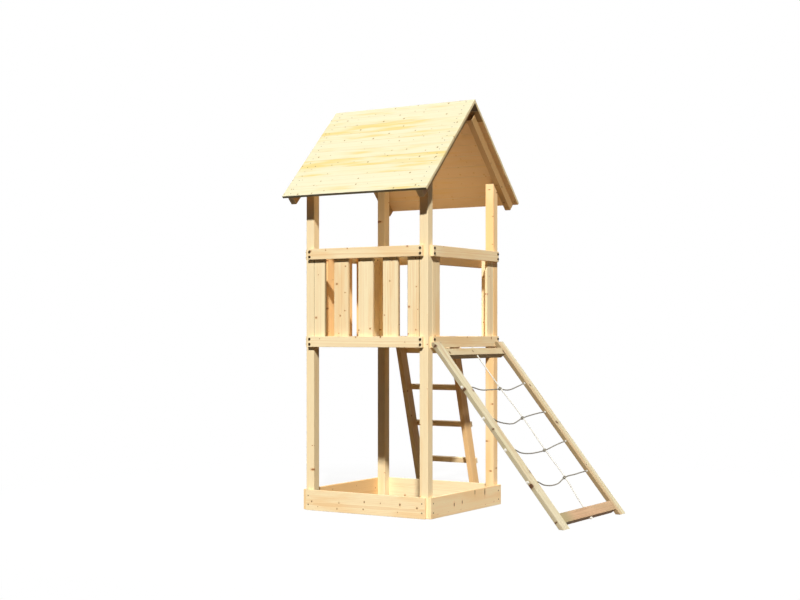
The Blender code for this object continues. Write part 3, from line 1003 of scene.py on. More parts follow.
@dataclass
class Screws:
    """The heads of the screws and nails, modelled once each and set in rows.

    Attributes:
        material: Their finish.
        flange_radius: Radius of a coach screw's flange.
        flange_height: Height of the flange.
        flange_arris: Radius of its edges.
        hex_radius: Radius over the corners of its six-sided head.
        hex_arris: Radius of the head's edges.
        head_height: Height of the whole head.
        disc_radius: Radius of a wood screw's flat head.
        disc_height: How far a wood screw's head stands out.
        disc_arris: Radius of its edges.
        nail_radius: Radius of a nail's head.
        nail_height: How far it stands out.
        nail_arris: Radius of its edges.
    """

    material: Material
    flange_radius: float = 0.0098
    flange_height: float = 0.0016
    flange_arris: float = 0.0006
    hex_radius: float = 0.0078
    hex_arris: float = 0.0005
    head_height: float = 0.0062
    disc_radius: float = 0.0050
    disc_height: float = 0.0008
    disc_arris: float = 0.0003
    nail_radius: float = 0.0032
    nail_height: float = 0.0006
    nail_arris: float = 0.0002

    @staticmethod
    def looks_up(face: bpy.types.MeshPolygon) -> bool:
        """Says whether a face is the top of a head."""
        return face.normal.z > 0.9

    def coach_model(self) -> Piece:
        """Models a flanged six-sided head, its axis along z and its seat at the origin.

        Returns:
            The model.
        """
        flange = Hands.disc(24, self.flange_radius, self.flange_height, self.flange_height / 2)
        self.ease(flange, self.flange_arris)
        hex_height = self.head_height - self.flange_height / 2
        head = Hands.disc(6, self.hex_radius, hex_height, self.head_height - hex_height / 2)
        Hands.faces_of(head, self.looks_up)
        bpy.ops.mesh.inset(thickness=0.0012, depth=0)
        bpy.ops.transform.translate(value=(0, 0, 0.0004))
        Hands.done()
        self.ease(head, self.hex_arris)
        return Hands.join((flange, head), "coach_screw_model")

    def wood_model(self) -> Piece:
        """Models a flat head with a round recess, its seat at the origin.

        Returns:
            The model.
        """
        disc = Hands.disc(18, self.disc_radius, self.disc_height * 2)
        Hands.faces_of(disc, self.looks_up)
        bpy.ops.mesh.inset(thickness=self.disc_radius * 0.5, depth=0)
        bpy.ops.mesh.inset(thickness=self.disc_radius * 0.06, depth=-self.disc_height)
        Hands.done()
        self.ease(disc, self.disc_arris)
        disc.name = "wood_screw_model"
        return disc

    def nail_model(self) -> Piece:
        """Models a nail's flat round head, its seat at the origin.

        Returns:
            The model.
        """
        nail = Hands.disc(12, self.nail_radius, self.nail_height * 2)
        self.ease(nail, self.nail_arris)
        nail.name = "nail_model"
        return nail

    @staticmethod
    def ease(piece: Piece, width: float) -> None:
        """Takes the sharp edges off a piece with a bevel.

        Args:
            piece: The piece.
            width: The bevel's width.
        """
        bevel = piece.modifiers.new("ease", "BEVEL")
        bevel.width = width
        bevel.segments = 2
        bevel.limit_method = "ANGLE"
        Hands.apply(piece, bevel)

    def set_row(self, model: Piece, name: str, places: Sequence[Aim], *nodes: str) -> Piece:
        """Sets one head at each place and joins them.

        Args:
            model: The head that is repeated.
            name: The joined piece's name.
            places: Points on the timber's face, and the way out of the face.
            nodes: The CAD nodes that the screws stand for.

        Returns:
            The joined piece.
        """
        heads = []
        chance = random.Random(name)
        for number, (point, way) in enumerate(places, 1):
            spin = Matrix.Rotation(chance.uniform(0, math.pi), 4, "Z")
            heads.append(Hands.copy(model, f"{name}_{number}", standing(point, way) @ spin))
        return hand_in(Hands.join(heads, name), self.material, Slot.STEEL, *nodes)


@dataclass
class Rope:
    """A laid rope of three strands along a smooth route.

    Attributes:
        name: The piece's name.
        node: The CAD node that it stands for.
        route: The points that it goes through, in the tower's frame.
        material: Its finish.
        diameter: Its diameter over the strands.
        pitch: The way along it in which a strand goes once round.
        step: The way from one section of its mesh to the next.
        depth: How deep the grooves between the strands are, as a share of the radius.
        sides: How many points its section has.
        fineness: How many parts of the curve between two points of the route are measured.
    """

    name: str
    node: str
    route: list[Vector]
    material: Material
    diameter: float = 0.009
    pitch: float = 0.030
    step: float = 0.003
    depth: float = 0.18
    sides: int = 12
    fineness: int = 48

    def smooth(self, step: float) -> list[Vector]:
        """Returns points a step apart on the smooth curve through the route, its ends kept.

        Args:
            step: The wanted way between two points.

        Returns:
            The points, in the model's frame.
        """
        route = [TOWER_CENTRE + point for point in self.route]
        spans = [(end - start).length for start, end in zip(route, route[1:])]
        ways = [(end - start).normalized() for start, end in zip(route, route[1:])]
        slopes = [ways[0]]
        for way, next_way, span, next_span in zip(ways, ways[1:], spans, spans[1:]):
            slopes.append((way * next_span + next_way * span) / (span + next_span))
        slopes.append(ways[-1])
        fine = [route[0]]
        for start, end, span, leave, arrive in zip(route, route[1:], spans, slopes, slopes[1:]):
            for part in range(1, self.fineness + 1):
                t = part / self.fineness
                ease = t * t * (3 - 2 * t)
                bend = leave * (t * (1 - t) ** 2) - arrive * (t * t * (1 - t))
                fine.append(start.lerp(end, ease) + bend * span)
        lengths = [(b - a).length for a, b in zip(fine, fine[1:])]
        count = round(sum(lengths) / step)
        even_step = sum(lengths) / count
        points = [fine[0]]
        travelled = 0.0
        for start, end, length in zip(fine, fine[1:], lengths):
            while len(points) < count and travelled + length >= even_step * len(points):
                points.append(start.lerp(end, (even_step * len(points) - travelled) / length))
            travelled += length
        return [*points, fine[-1]]

    def build(self) -> Piece:
        """Models the rope and hands it in.

        Returns:
            The piece.
        """
        points = self.smooth(self.step)
        piece = laid_tube(self.name, points, self.diameter / 2, self.pitch, self.depth, self.sides)
        return hand_in(piece, self.material, Slot.ROPE, self.node)

    def declare(self) -> float:
        """Says that the piece is a free rope and returns its length.


        Returns:
            The rope's length.
        """
        path = self.smooth(3 * self.diameter)
        length = sum((b - a).length for a, b in zip(path, path[1:]))
        return length


def laid_tube(
    name: str,
    points: Sequence[Vector],
    radius: float,
    pitch: float,
    depth: float,
    sides: int,
    closed: bool = False,
) -> Piece:
    """Sweeps a section of three round strands along points, turning as it goes.

    Args:
        name: The piece's name.
        points: The middle of the rope, evenly spaced.
        radius: Radius over the strands.
        pitch: The way in which the section turns once round.
        depth: Depth of the grooves, as a share of the radius.
        sides: How many points the section has.
        closed: Whether the last point joins the first.

    Returns:
        The swept piece, with the attribute lay: way along, angle, and height on the strand.
    """
    strands, groove_power, smooth_angle = 3, 1.5, math.radians(60)
    section = bpy.data.curves.new(f"{name}_section", "CURVE")
    outline = section.splines.new("POLY")
    outline.points.add(sides - 1)
    outline.use_cyclic_u = True
    crowns = []
    for number, point in enumerate(outline.points):
        angle = 2 * math.pi * number / sides
        crown = abs(math.cos(strands / 2 * angle))
        crowns.append(crown)
        reach = radius * (1 - depth * (1 - crown) ** groove_power)
        point.co = (reach * math.cos(angle), reach * math.sin(angle), 0, 1)
    section_piece = bpy.data.objects.new(section.name, section)
    bpy.context.scene.collection.objects.link(section_piece)
    curve = bpy.data.curves.new(name, "CURVE")
    curve.dimensions = "3D"
    curve.bevel_mode = "OBJECT"
    curve.bevel_object = section_piece
    curve.use_fill_caps = not closed
    spline = curve.splines.new("POLY")
    spline.points.add(len(points) - 1)
    spline.use_cyclic_u = closed
    travelled = 0.0
    ways = []
    for number, (bead, point) in enumerate(zip(spline.points, points)):
        travelled += (point - points[number - 1]).length if number else 0.0
        ways.append(travelled)
        bead.co = (*point, 1)
        bead.tilt = 2 * math.pi * travelled / pitch
    piece = bpy.data.objects.new(name, curve)
    bpy.context.scene.collection.objects.link(piece)
    Hands.take(piece)
    bpy.ops.object.convert(target="MESH")
    piece = bpy.context.object
    piece.name = name
    Hands.drop(section_piece)
    Hands.take(piece)
    bpy.ops.object.shade_smooth_by_angle(angle=smooth_angle)
    lay = piece.data.attributes.new("lay", "FLOAT_VECTOR", "POINT")
    for number, item in enumerate(lay.data):
        way = ways[min(number // sides, len(ways) - 1)]
        item.vector = (way, 2 * math.pi * (number % sides) / sides, crowns[number % sides])
    return piece


@dataclass
class RopeKnots:
    """The knots of the net: stop knots, ties where ropes cross, and whippings.

    Attributes:
        material: Finish of the stop knots and the whippings.
        knot_scale: Size of a stop knot's loops.
        knot_swing: Mean radius of its loops, in that size.
        knot_rise: Half the height of its loops, in that size.
        knot_seat: Height of its middle over the wood.
        strand: Radius of the rope in a stop knot.
        tie_radius: Radius of the cord of a tie.
        tie_reach: How far a tie's loops stand out sideways.
        tie_height: How far they stand out over and under the two ropes.
        rope_radius: Radius of the rope that a whipping is wound round.
        twine: Radius of a whipping's twine.
        twine_turns: How many turns a whipping has.
        twine_rise: The way from one turn to the next, in radii of the twine.
        twine_bed: How far the twine's middle lies outside the rope, in its radius.
    """

    material: Material
    knot_scale: float = 0.0030
    knot_swing: float = 1.75
    knot_rise: float = 1.25
    knot_seat: float = 0.0085
    strand: float = 0.0036
    tie_radius: float = 0.0024
    tie_reach: float = 0.0098
    tie_height: float = 0.0120
    rope_radius: float = 0.0045
    twine: float = 0.0015
    twine_turns: int = 4
    twine_rise: float = 1.9
    twine_bed: float = 0.7

    def stop_spot(self, t: float) -> Vector:
        """Returns a point of a stop knot's middle line, by its angle."""
        swing = self.knot_swing + math.cos(3 * t)
        spot = Vector((swing * math.cos(2 * t), swing * math.sin(2 * t), self.knot_rise * math.sin(3 * t)))
        return spot * self.knot_scale + Vector((0, 0, self.knot_seat))

    def stop_model(self) -> Piece:
        """Models an overhand knot drawn tight, its axis along z, standing on the origin.

        Returns:
            The model.
        """
        points = ring(count=72, spot=self.stop_spot)
        return laid_tube(
            "stop_knot_model", points, self.strand, pitch=0.03, depth=0.22, sides=12, closed=True
        )

    def tie_model(self) -> Piece:
        """Models four turns of cord crossed over two ropes that lie on each other along x and y.

        Returns:
            The model, its middle at the origin.
        """
        turns = []
        for slant in (-1, 1):
            along = Vector((1, slant, 0)).normalized()
            for shift in (-0.9, 0.9):
                aside = along.cross(UP) * shift * self.tie_radius
                points = ring(
                    count=28,
                    spot=lambda t: along * (self.tie_reach * math.cos(t))
                    + Vector((0, 0, self.tie_height * math.sin(t)))
                    + aside,
                )
                name = f"tie_turn_{slant}_{shift}"
                turns.append(
                    laid_tube(name, points, self.tie_radius, pitch=0.02, depth=0.2, sides=6, closed=True)
                )
        return Hands.join(turns, "tie_model")

    def whip_model(self) -> Piece:
        """Models turns of twine wound round a rope, their axis along z, standing on the origin.

        Returns:
            The model.
        """
        turns = []
        reach = self.rope_radius + self.twine_bed * self.twine
        for turn in range(self.twine_turns):
            height = self.twine * (1.0 + self.twine_rise * turn)
            points = ring(
                count=24, spot=lambda t: Vector((reach * math.cos(t), reach * math.sin(t), height))
            )
            name = f"whip_turn_{turn}"
            turns.append(laid_tube(name, points, self.twine, pitch=0.009, depth=0.15, sides=6, closed=True))
        return Hands.join(turns, "whip_model")

    def set_stops(self, model: Piece, name: str, route: Sequence[Vector]) -> list[Piece]:
        """Sets a stop knot at both ends of a route.

        Args:
            model: The stop knot that is repeated.
            name: The rope's name.
            route: The rope's route, in the tower's frame.

        Returns:
            The two knots.
        """
        made = []
        for end, tip, before in (("start", route[0], route[1]), ("end", route[-1], route[-2])):
            spot = standing(TOWER_CENTRE + tip, (tip - before).normalized())
            made.append(hand_in(Hands.copy(model, f"{name}_{end}_knot", spot), self.material, Slot.ROPE))
        return made

    def set_whippings(self, model: Piece, name: str, spots: Sequence[Aim]) -> Piece:
        """Sets a whipping wherever a rope leaves the wood.

        Args:
            model: The whipping that is repeated.
            name: The rope's name.
            spots: Points in the tower's frame, and the way that the rope leaves the wood.

        Returns:
            The joined piece.
        """
        name = f"{name}_whippings"
        made = []
        for number, (spot, way) in enumerate(spots):
            made.append(Hands.copy(model, f"{name}_{number}", standing(TOWER_CENTRE + spot, way)))
        return hand_in(Hands.join(made, name), self.material, Slot.ROPE)


@dataclass
class NetRamp:
    """The ramp: two planks, two crossbars and a net of ropes.

    Attributes:
        finishes: The tower's finishes.
        start: Where the ramp's face meets the right platform rail.
        height: Height of the face there.
        foot: Where the face meets the ground.
        stile_top: Height at which the planks are sawn off level.
        plank_width: Width of a plank.
        plank_length: Length of a plank before it is sawn off.
        plank_over: How far it then stands over the top of the face.
        thickness: Thickness of a plank.
        bar_thickness: Thickness of a bar, from the ramp's face down.
        top_bar: Where the top bar starts and ends, down the slope.
        bottom_bar: Where the bottom bar starts and ends.
        edge_shades: Painted shade on the planks' edges: how light they are, next to their faces.
        bar_edge_shade: Painted shade on the bars' edges: how light they are.
        grain_starts: Where along their logs the planks begin, so that their knots lie as they do.
        piths: Where the piths of the planks' logs ran, across the width and the thickness.
        rope_diameter: Diameter of the ropes.
        long_depth: How deep the long rope's grooves are, as a share of its radius.
        rows: Way down the slope of each row of rope, and how far it hangs at places across.
        crossings: Which of those places the long rope passes over.
        crossing_lift: How far the long rope's middle lies over a row's.
    """

    finishes: Finishes
    start: float = RAIL_FACE + GAP
    height: float = 1.2245
    foot: float = 1.517
    stile_top: float = 1.200
    plank_width: float = 0.095
    plank_length: float = 1.75
    plank_over: float = 0.08
    thickness: float = 0.028
    bar_thickness: float = 0.047
    top_bar: Span = (0.086, 0.143)
    bottom_bar: Span = (1.450, 1.523)
    edge_shades: Span = (0.68, 0.5)
    bar_edge_shade: float = 0.69
    grain_starts: Span = (2.62, 9.28)
    piths: tuple[Span, Span] = ((0.02, 0.08), (0.0475, 0.03))
    rope_diameter: float = 0.009
    long_depth: float = 0.1
    rows: tuple[tuple[float, tuple[Span, ...]], ...] = (
        (0.405, ((-0.237, 0.026), (-0.080, 0.029), (0.021, 0.030), (0.159, 0.040), (0.320, 0.016))),
        (0.665, ((-0.310, 0.030), (-0.200, 0.049), (-0.083, 0.056), (0.045, 0.028), (0.220, 0.009))),
        (0.925, ((-0.291, 0.032), (-0.150, 0.047), (-0.040, 0.047), (0.060, 0.043), (0.240, 0.018))),
        (1.185, ((-0.270, 0.038), (-0.150, 0.051), (-0.050, 0.045), (0.034, 0.018), (0.220, 0.007))),
    )
    crossings: tuple[int, ...] = (2, 3, 3, 3)
    crossing_lift: float = 0.0108

    @property
    def slope(self) -> float:
        """The ramp's angle over the ground."""
        return math.atan2(self.height, self.foot - self.start)

    @property
    def inner(self) -> float:
        """Half the width between the planks."""
        return OUTER - self.plank_width

    @property
    def down(self) -> Vector:
        """The way down the slope."""
        return Vector((math.cos(self.slope), 0, -math.sin(self.slope)))

    @property
    def out(self) -> Vector:
        """The way out of the ramp's face."""
        return Vector((math.sin(self.slope), 0, math.cos(self.slope)))

    def point(self, down: float, depth: float, y: float = 0.0) -> Vector:
        """Returns a point of the ramp in the tower's frame.

        Args:
            down: The way down the slope from the top of the face.
            depth: The depth under the face.
            y: The way across.

        Returns:
            The point.
        """
        return Vector((self.start, y, self.height)) + self.down * down - self.out * depth

    def row_route(self, down: float, sags: Sequence[Span]) -> list[Vector]:
        """Returns a row's route, straight through both planks and hanging between them.

        Args:
            down: The row's way down the slope.
            sags: How far it hangs at places across.

        Returns:
            The points of the route, in the tower's frame.
        """
        start = self.point(down, self.thickness / 2)
        straight = (OUTER, self.inner + self.plank_width / 2, self.inner)
        hung = [start + Vector((0, y, -drop)) for y, drop in sags]
        before = [start + Vector((0, -y, 0)) for y in straight]
        after = [start + Vector((0, y, 0)) for y in reversed(straight)]
        return [*before, *hung, *after]

    def crossing(self, row: int) -> Vector:
        """Returns the middle of a row's rope where the long rope passes over it."""
        down, sags = self.rows[row]
        y, drop = sags[self.crossings[row]]
        return self.point(down, self.thickness / 2, y) + Vector((0, 0, -drop))

    def long_route(self) -> list[Vector]:
        """Returns the long rope's route through both bars and over every row.

        Returns:
            The points of the route, in the tower's frame.
        """
        straight = 2 * self.rope_diameter
        middle = self.thickness / 2
        top = (self.top_bar[0], sum(self.top_bar) / 2, self.top_bar[1], self.top_bar[1] + straight)
        low, high = self.bottom_bar
        bottom = (low - straight, low, (low + high) / 2, high)
        over = [self.crossing(row) + self.out * self.crossing_lift for row in range(len(self.rows))]
        ends = [[self.point(down, middle) for down in part] for part in (top, bottom)]
        return [*ends[0], *over, *ends[1]]

    def build(self) -> None:
        """Builds the ramp, which throws no shadow on the sandbox and the ladder behind it."""
        others = set(bpy.context.scene.objects)
        self.build_ropes()
        self.build_frame()
        for piece in set(bpy.context.scene.objects) - others:
            piece.visible_shadow = False

    def build_ropes(self) -> None:
        """Builds the net: ropes, stop knots, ties, and whippings where the ropes leave the wood."""
        knots = RopeKnots(self.finishes.pale_rope)
        stop = knots.stop_model()
        tie = knots.tie_model()
        whip = knots.whip_model()
        ties = []
        for row in range(len(self.rows)):
            middle = self.crossing(row) + self.out * (self.crossing_lift / 2)
            spot = axes(self.down, DEEP, TOWER_CENTRE + middle)
            piece = Hands.copy(tie, f"net_tie_{row + 1}", spot)
            ties.append(hand_in(piece, self.finishes.rope, Slot.ROPE))

        def string(rope: Rope, spots: Sequence[Aim], *tied: Piece) -> None:
            piece = rope.build()
            on_it = knots.set_stops(stop, rope.name, rope.route)
            on_it.append(knots.set_whippings(whip, rope.name, spots))
            log.info("%s: %.3f m", rope.name, rope.declare())

        for number, (down, sags) in enumerate(self.rows, 1):
            route = self.row_route(down, sags)
            spots = []
            for side in Side:
                edge = self.point(down, self.thickness / 2, side.value * self.inner)
                spots.append((edge, -side.value * DEEP))
            rope = Rope(f"net_rope_{number}", f"ramp_rope_{number}", route, self.finishes.rope)
            string(rope, spots, ties[number - 1])
        spots = [
            (self.point(self.top_bar[1], self.thickness / 2), self.down),
            (self.point(self.bottom_bar[0], self.thickness / 2), -self.down),
        ]
        route, pale = self.long_route(), self.finishes.pale_rope
        string(Rope("net_rope_long", "ramp_rope_centre", route, pale, depth=self.long_depth), spots)
        Hands.drop(stop, tie, whip)

    def build_frame(self) -> None:
        """Builds the two planks, sawn plumb, level and flat on the ground, and the bars."""
        cuts = [
            (in_tower(0, 0, 0), -UP),
            (in_tower(self.start, 0, 0), Vector((-1, 0, 0))),
            (in_tower(0, 0, self.stile_top), UP),
        ]
        # Painted shade on each plank's edges, darker on the back plank.
        for side, shade, pith, start in zip(Side, self.edge_shades, self.piths, self.grain_starts):
            across = side.value * (self.inner + OUTER) / 2
            middle = self.point(self.plank_length / 2 - self.plank_over, self.thickness / 2, across)
            Timber(
                f"ramp_plank_{side.deep}",
                (self.plank_length, self.plank_width, self.thickness),
                axes(self.down, DEEP, TOWER_CENTRE + middle),
                self.finishes.treated,
                Slot.TREATED,
                (f"ramp_stile_{side.deep}",),
                tone=0.1,
                edge_shade=shade,
                cuts=cuts,
                pith=pith,
                grain_start=start,
            ).build()
        bars = (
            ("top", self.top_bar, self.finishes.treated, Slot.TREATED, {"tone": 1.0}),
            ("bottom", self.bottom_bar, self.finishes.red, Slot.RED, {"silver": 1.0}),
        )
        # Painted shade on the bars' edges as well.
        for name, (low, high), material, slot, look in bars:
            middle = self.point((low + high) / 2, self.bar_thickness / 2)
            Timber(
                f"ramp_bar_{name}",
                (2 * (self.inner - GAP), high - low, self.bar_thickness),
                axes(DEEP, -self.down, TOWER_CENTRE + middle),
                material,
                slot,
                (f"ramp_crossbar_{name}",),
                edge_shade=self.bar_edge_shade,
                **look,
            ).build()
        log.info("ramp frame: two planks and two bars")


@dataclass
class Tower:
    """The tower's square timbers: posts, sandbox, rails, boards and floor.

    Attributes:
        finishes: The tower's finishes.
        screws: The maker of the screws.
        coach: The model of a coach screw's head.
        wood: The model of a wood screw's head.
        sandbox_thickness: Thickness of a sandbox board.
        sandbox_screw_heights: Heights of the screws in the sandbox boards.
        rail_middles: Heights of the rails' middles.
        rail_screw_centre: The way from the middle to a rail's screws.
        rail_screw_offset: How far they stand over and under the rail's middle.
        board_counts: How many upright boards each side has.
        board_screw_shares: Where the screws stand across an upright board.
        joist_lines: Where the joists' middles lie, from left to right.
        floor_boards: How many boards the floor has.
        floor_gap: The gap between two floor boards.
        floor_screw_shares: Where the screws stand across a floor board.
        looks: The tone, shade and other fields of single timbers, by node, which paint light and shade into
            some of them.
    """

    finishes: Finishes
    screws: Screws
    coach: Piece
    wood: Piece
    sandbox_thickness: float = 0.025
    sandbox_screw_heights: Span = (0.0406, 0.1044)
    rail_middles: dict[str, float] = field(
        default_factory=lambda: {"platform_rail": 1.202, "handrail": 1.824}
    )
    rail_screw_centre: float = 0.460
    rail_screw_offset: float = 0.018
    board_counts: dict[str, int] = field(
        default_factory=lambda: {"front": 5, "left": 5, "right": 2, "back": 2}
    )
    board_screw_shares: Span = (0.25, 0.75)
    joist_lines: tuple[float, ...] = (-0.4247, 0.0, 0.4247)
    floor_boards: int = 10
    floor_gap: float = 0.003
    floor_screw_shares: Span = (0.3, 0.7)
    # The shade values here paint shade below 1 and light above 1, the edge shades paint shade on edges, and
    # tones above 1 paint warm bounced light.
    looks: dict[str, dict[str, Any]] = field(
        default_factory=lambda: {
            "post_front_left": {"tone": -0.4, "edge_shade": 0.8},
            "post_front_right": {"tone": -0.3},
            "post_back_right": {"tone": 0.95, "shade": 1.1, "grain_start": 6.9},
            "platform_rail_front": {"tone": -0.6, "dead_knots": 0.4},
            "platform_rail_right": {"tone": 0.55},
            "handrail_front": {"tone": 0.3},
            "handrail_right": {"tone": 0.5, "shade": 1.05},
            "cross_rail": {"tone": 1.6, "shade": 0.42},
            "front_board_1": {"tone": -0.2, "edge_shade": 0.4, "arris": 0.0035},
            "front_board_2": {"tone": 0.55, "edge_shade": 0.8},
            "front_board_3": {"tone": -0.3, "edge_shade": 0.8},
            "front_board_4": {"tone": 0.0, "edge_shade": 0.8},
            "front_board_5": {"tone": 0.35, "edge_shade": 0.4, "arris": 0.0035},
            "right_board_1": {"tone": 0.6},
            "left_board_1": {"tone": 1.5},
            "left_board_2": {"tone": 1.5, "shade": 1.08},
            "left_board_3": {"tone": 1.5, "shade": 1.11},
            "left_board_4": {"tone": 1.5, "shade": 1.11},
            "sandbox_board_front": {"tone": 0.3, "dead_knots": 1.0, "pith": (0.02, 0.045), "squeeze": 1.3},
            "sandbox_board_left": {"tone": 1.4},
            "sandbox_board_right": {"tone": 0.65, "shade": 1.1, "dead_knots": 0.7, "pith": (0.06, 0.012)},
        }
    )

    def timber(self, node: str, **more: Any) -> Piece:
        """Builds a timber in planed spruce that fills a node's box, with the node's own look."""
        look = {**more, **self.looks.get(node, {})}
        return timber_of(node, self.finishes.planed, Slot.PLANED, **look).build()

    def build_posts(self) -> None:
        """Builds the four posts."""
        for x_side in Side:
            for y_side in Side:
                name = f"post_{y_side.deep}_{x_side.across}"
                self.timber(name, arris=0.003, pith=(0.055, 0.062))
        log.info("posts: 4")

    def build_sandbox(self) -> None:
        """Builds the four sandbox boards and their screws."""
        face = OUTER + self.sandbox_thickness
        for side in Side:
            for name, turn in ((side.deep, False), (side.across, True)):
                self.timber(f"sandbox_board_{name}")
                places = []
                for end in Side:
                    for height in self.sandbox_screw_heights:
                        flat = (end.value * POST_CENTRE, side.value * face)
                        places.append(self.out_of(flat, height, turn, side))
                self.screws.set_row(self.wood, f"sandbox_screws_{name}", places)
        log.info("sandbox: 4 boards, 16 screws")

    @staticmethod
    def out_of(flat: Span, height: float, turn: bool, side: Side) -> Aim:
        """Returns a point on an outer face and the way out of it.

        Args:
            flat: The way along the face and the face's distance from the middle.
            height: The point's height.
            turn: Whether the face looks along x instead of y.
            side: Which end of that axis it looks to.

        Returns:
            The point in the model's frame and the direction.
        """
        along, away = flat
        if turn:
            return in_tower(away, along, height), Vector((side.value, 0, 0))
        return in_tower(along, away, height), Vector((0, side.value, 0))

    def build_rails(self) -> None:
        """Builds the platform rails and handrails, with two coach screws at each end.

        The right platform rail has only the upper ones, because the ramp covers the others.
        """
        for kind, middle in self.rail_middles.items():
            for side in Side:
                for name, turn in ((side.deep, False), (side.across, True)):
                    self.timber(f"{kind}_{name}")
                    under_ramp = kind == "platform_rail" and name == "right"
                    places = []
                    for end in Side:
                        for sign in (-1, 1)[under_ramp:]:
                            flat = (end.value * self.rail_screw_centre, side.value * RAIL_FACE)
                            height = middle + sign * self.rail_screw_offset
                            places.append(self.out_of(flat, height, turn, side))
                    self.screws.set_row(self.coach, f"{kind}_screws_{name}", places)
        log.info("rails: 8, with their coach screws")

    def build_boards(self) -> None:
        """Builds the upright boards behind the rails, the cross rail and their screws."""
        for name, count in self.board_counts.items():
            places = []
            for number in range(1, count + 1):
                node = f"{name}_board_{number}"
                self.timber(node)
                low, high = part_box(node)
                places += self.board_screws(name, low, high)
            self.screws.set_row(self.wood, f"board_screws_{name}", places)
        self.timber("cross_rail")
        log.info("upright boards: %d, and the cross rail", sum(self.board_counts.values()))

    def board_screws(self, name: str, low: Vector, high: Vector) -> list[Aim]:
        """Returns the places of the screws on a board's inner face, at both rails.

        Args:
            name: The side that the board stands on.
            low: The board's lowest corner.
            high: The board's highest corner.

        Returns:
            Points and the way that the screws' heads look.
        """
        places = []
        axis = int(name in ("front", "back"))
        inward = 1.0 if name in ("front", "left") else -1.0
        way = Vector((0, 0, 0))
        way[axis] = inward
        for height in self.rail_middles.values():
            for share in self.board_screw_shares:
                spot = Vector([start + share * (end - start) for start, end in zip(low, high)])
                spot[axis] = (high if inward > 0 else low)[axis]
                spot.z = height
                places.append((spot, way))
        return places

    def build_floor(self) -> None:
        """Builds the joists and the floor boards, notched round the posts, with their screws."""
        for name in ("left", "middle", "right"):
            self.timber(f"floor_joist_{name}")
        low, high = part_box("floor_boards")
        pitch = (high.y - low.y) / self.floor_boards
        places = []
        for number in range(self.floor_boards):
            start = low.y + number * pitch + (self.floor_gap / 2 if number else 0)
            last = number == self.floor_boards - 1
            end = low.y + (number + 1) * pitch - (0 if last else self.floor_gap / 2)
            size = (high.x - low.x, end - start, high.z - low.z)
            middle = Vector(((low.x + high.x) / 2, (start + end) / 2, (low.z + high.z) / 2))
            notches = []
            if number == 0 or last:
                side = "back" if last else "front"
                for name in ("left", "right"):
                    post_low, post_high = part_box(f"post_{side}_{name}")
                    grow = Vector((GAP, GAP, 0))
                    post_low.z, post_high.z = low.z - size[2], high.z + size[2]
                    notches.append((post_low - grow, post_high + grow))
            Timber(
                f"floor_board_{number + 1}",
                size,
                axes(Vector((1, 0, 0)), DEEP, middle),
                self.finishes.planed,
                Slot.PLANED,
                ("floor_boards",),
                arris=0.0018,
                notches=notches,
            ).build()
            for share in self.floor_screw_shares:
                for joist in self.joist_lines:
                    if notches and joist:
                        continue
                    spot = in_tower(joist, 0, high.z)
                    spot.y = start + share * (end - start)
                    places.append((spot, UP))
        self.screws.set_row(self.wood, "floor_screws", places)
        log.info("floor: 3 joists, %d boards", self.floor_boards)


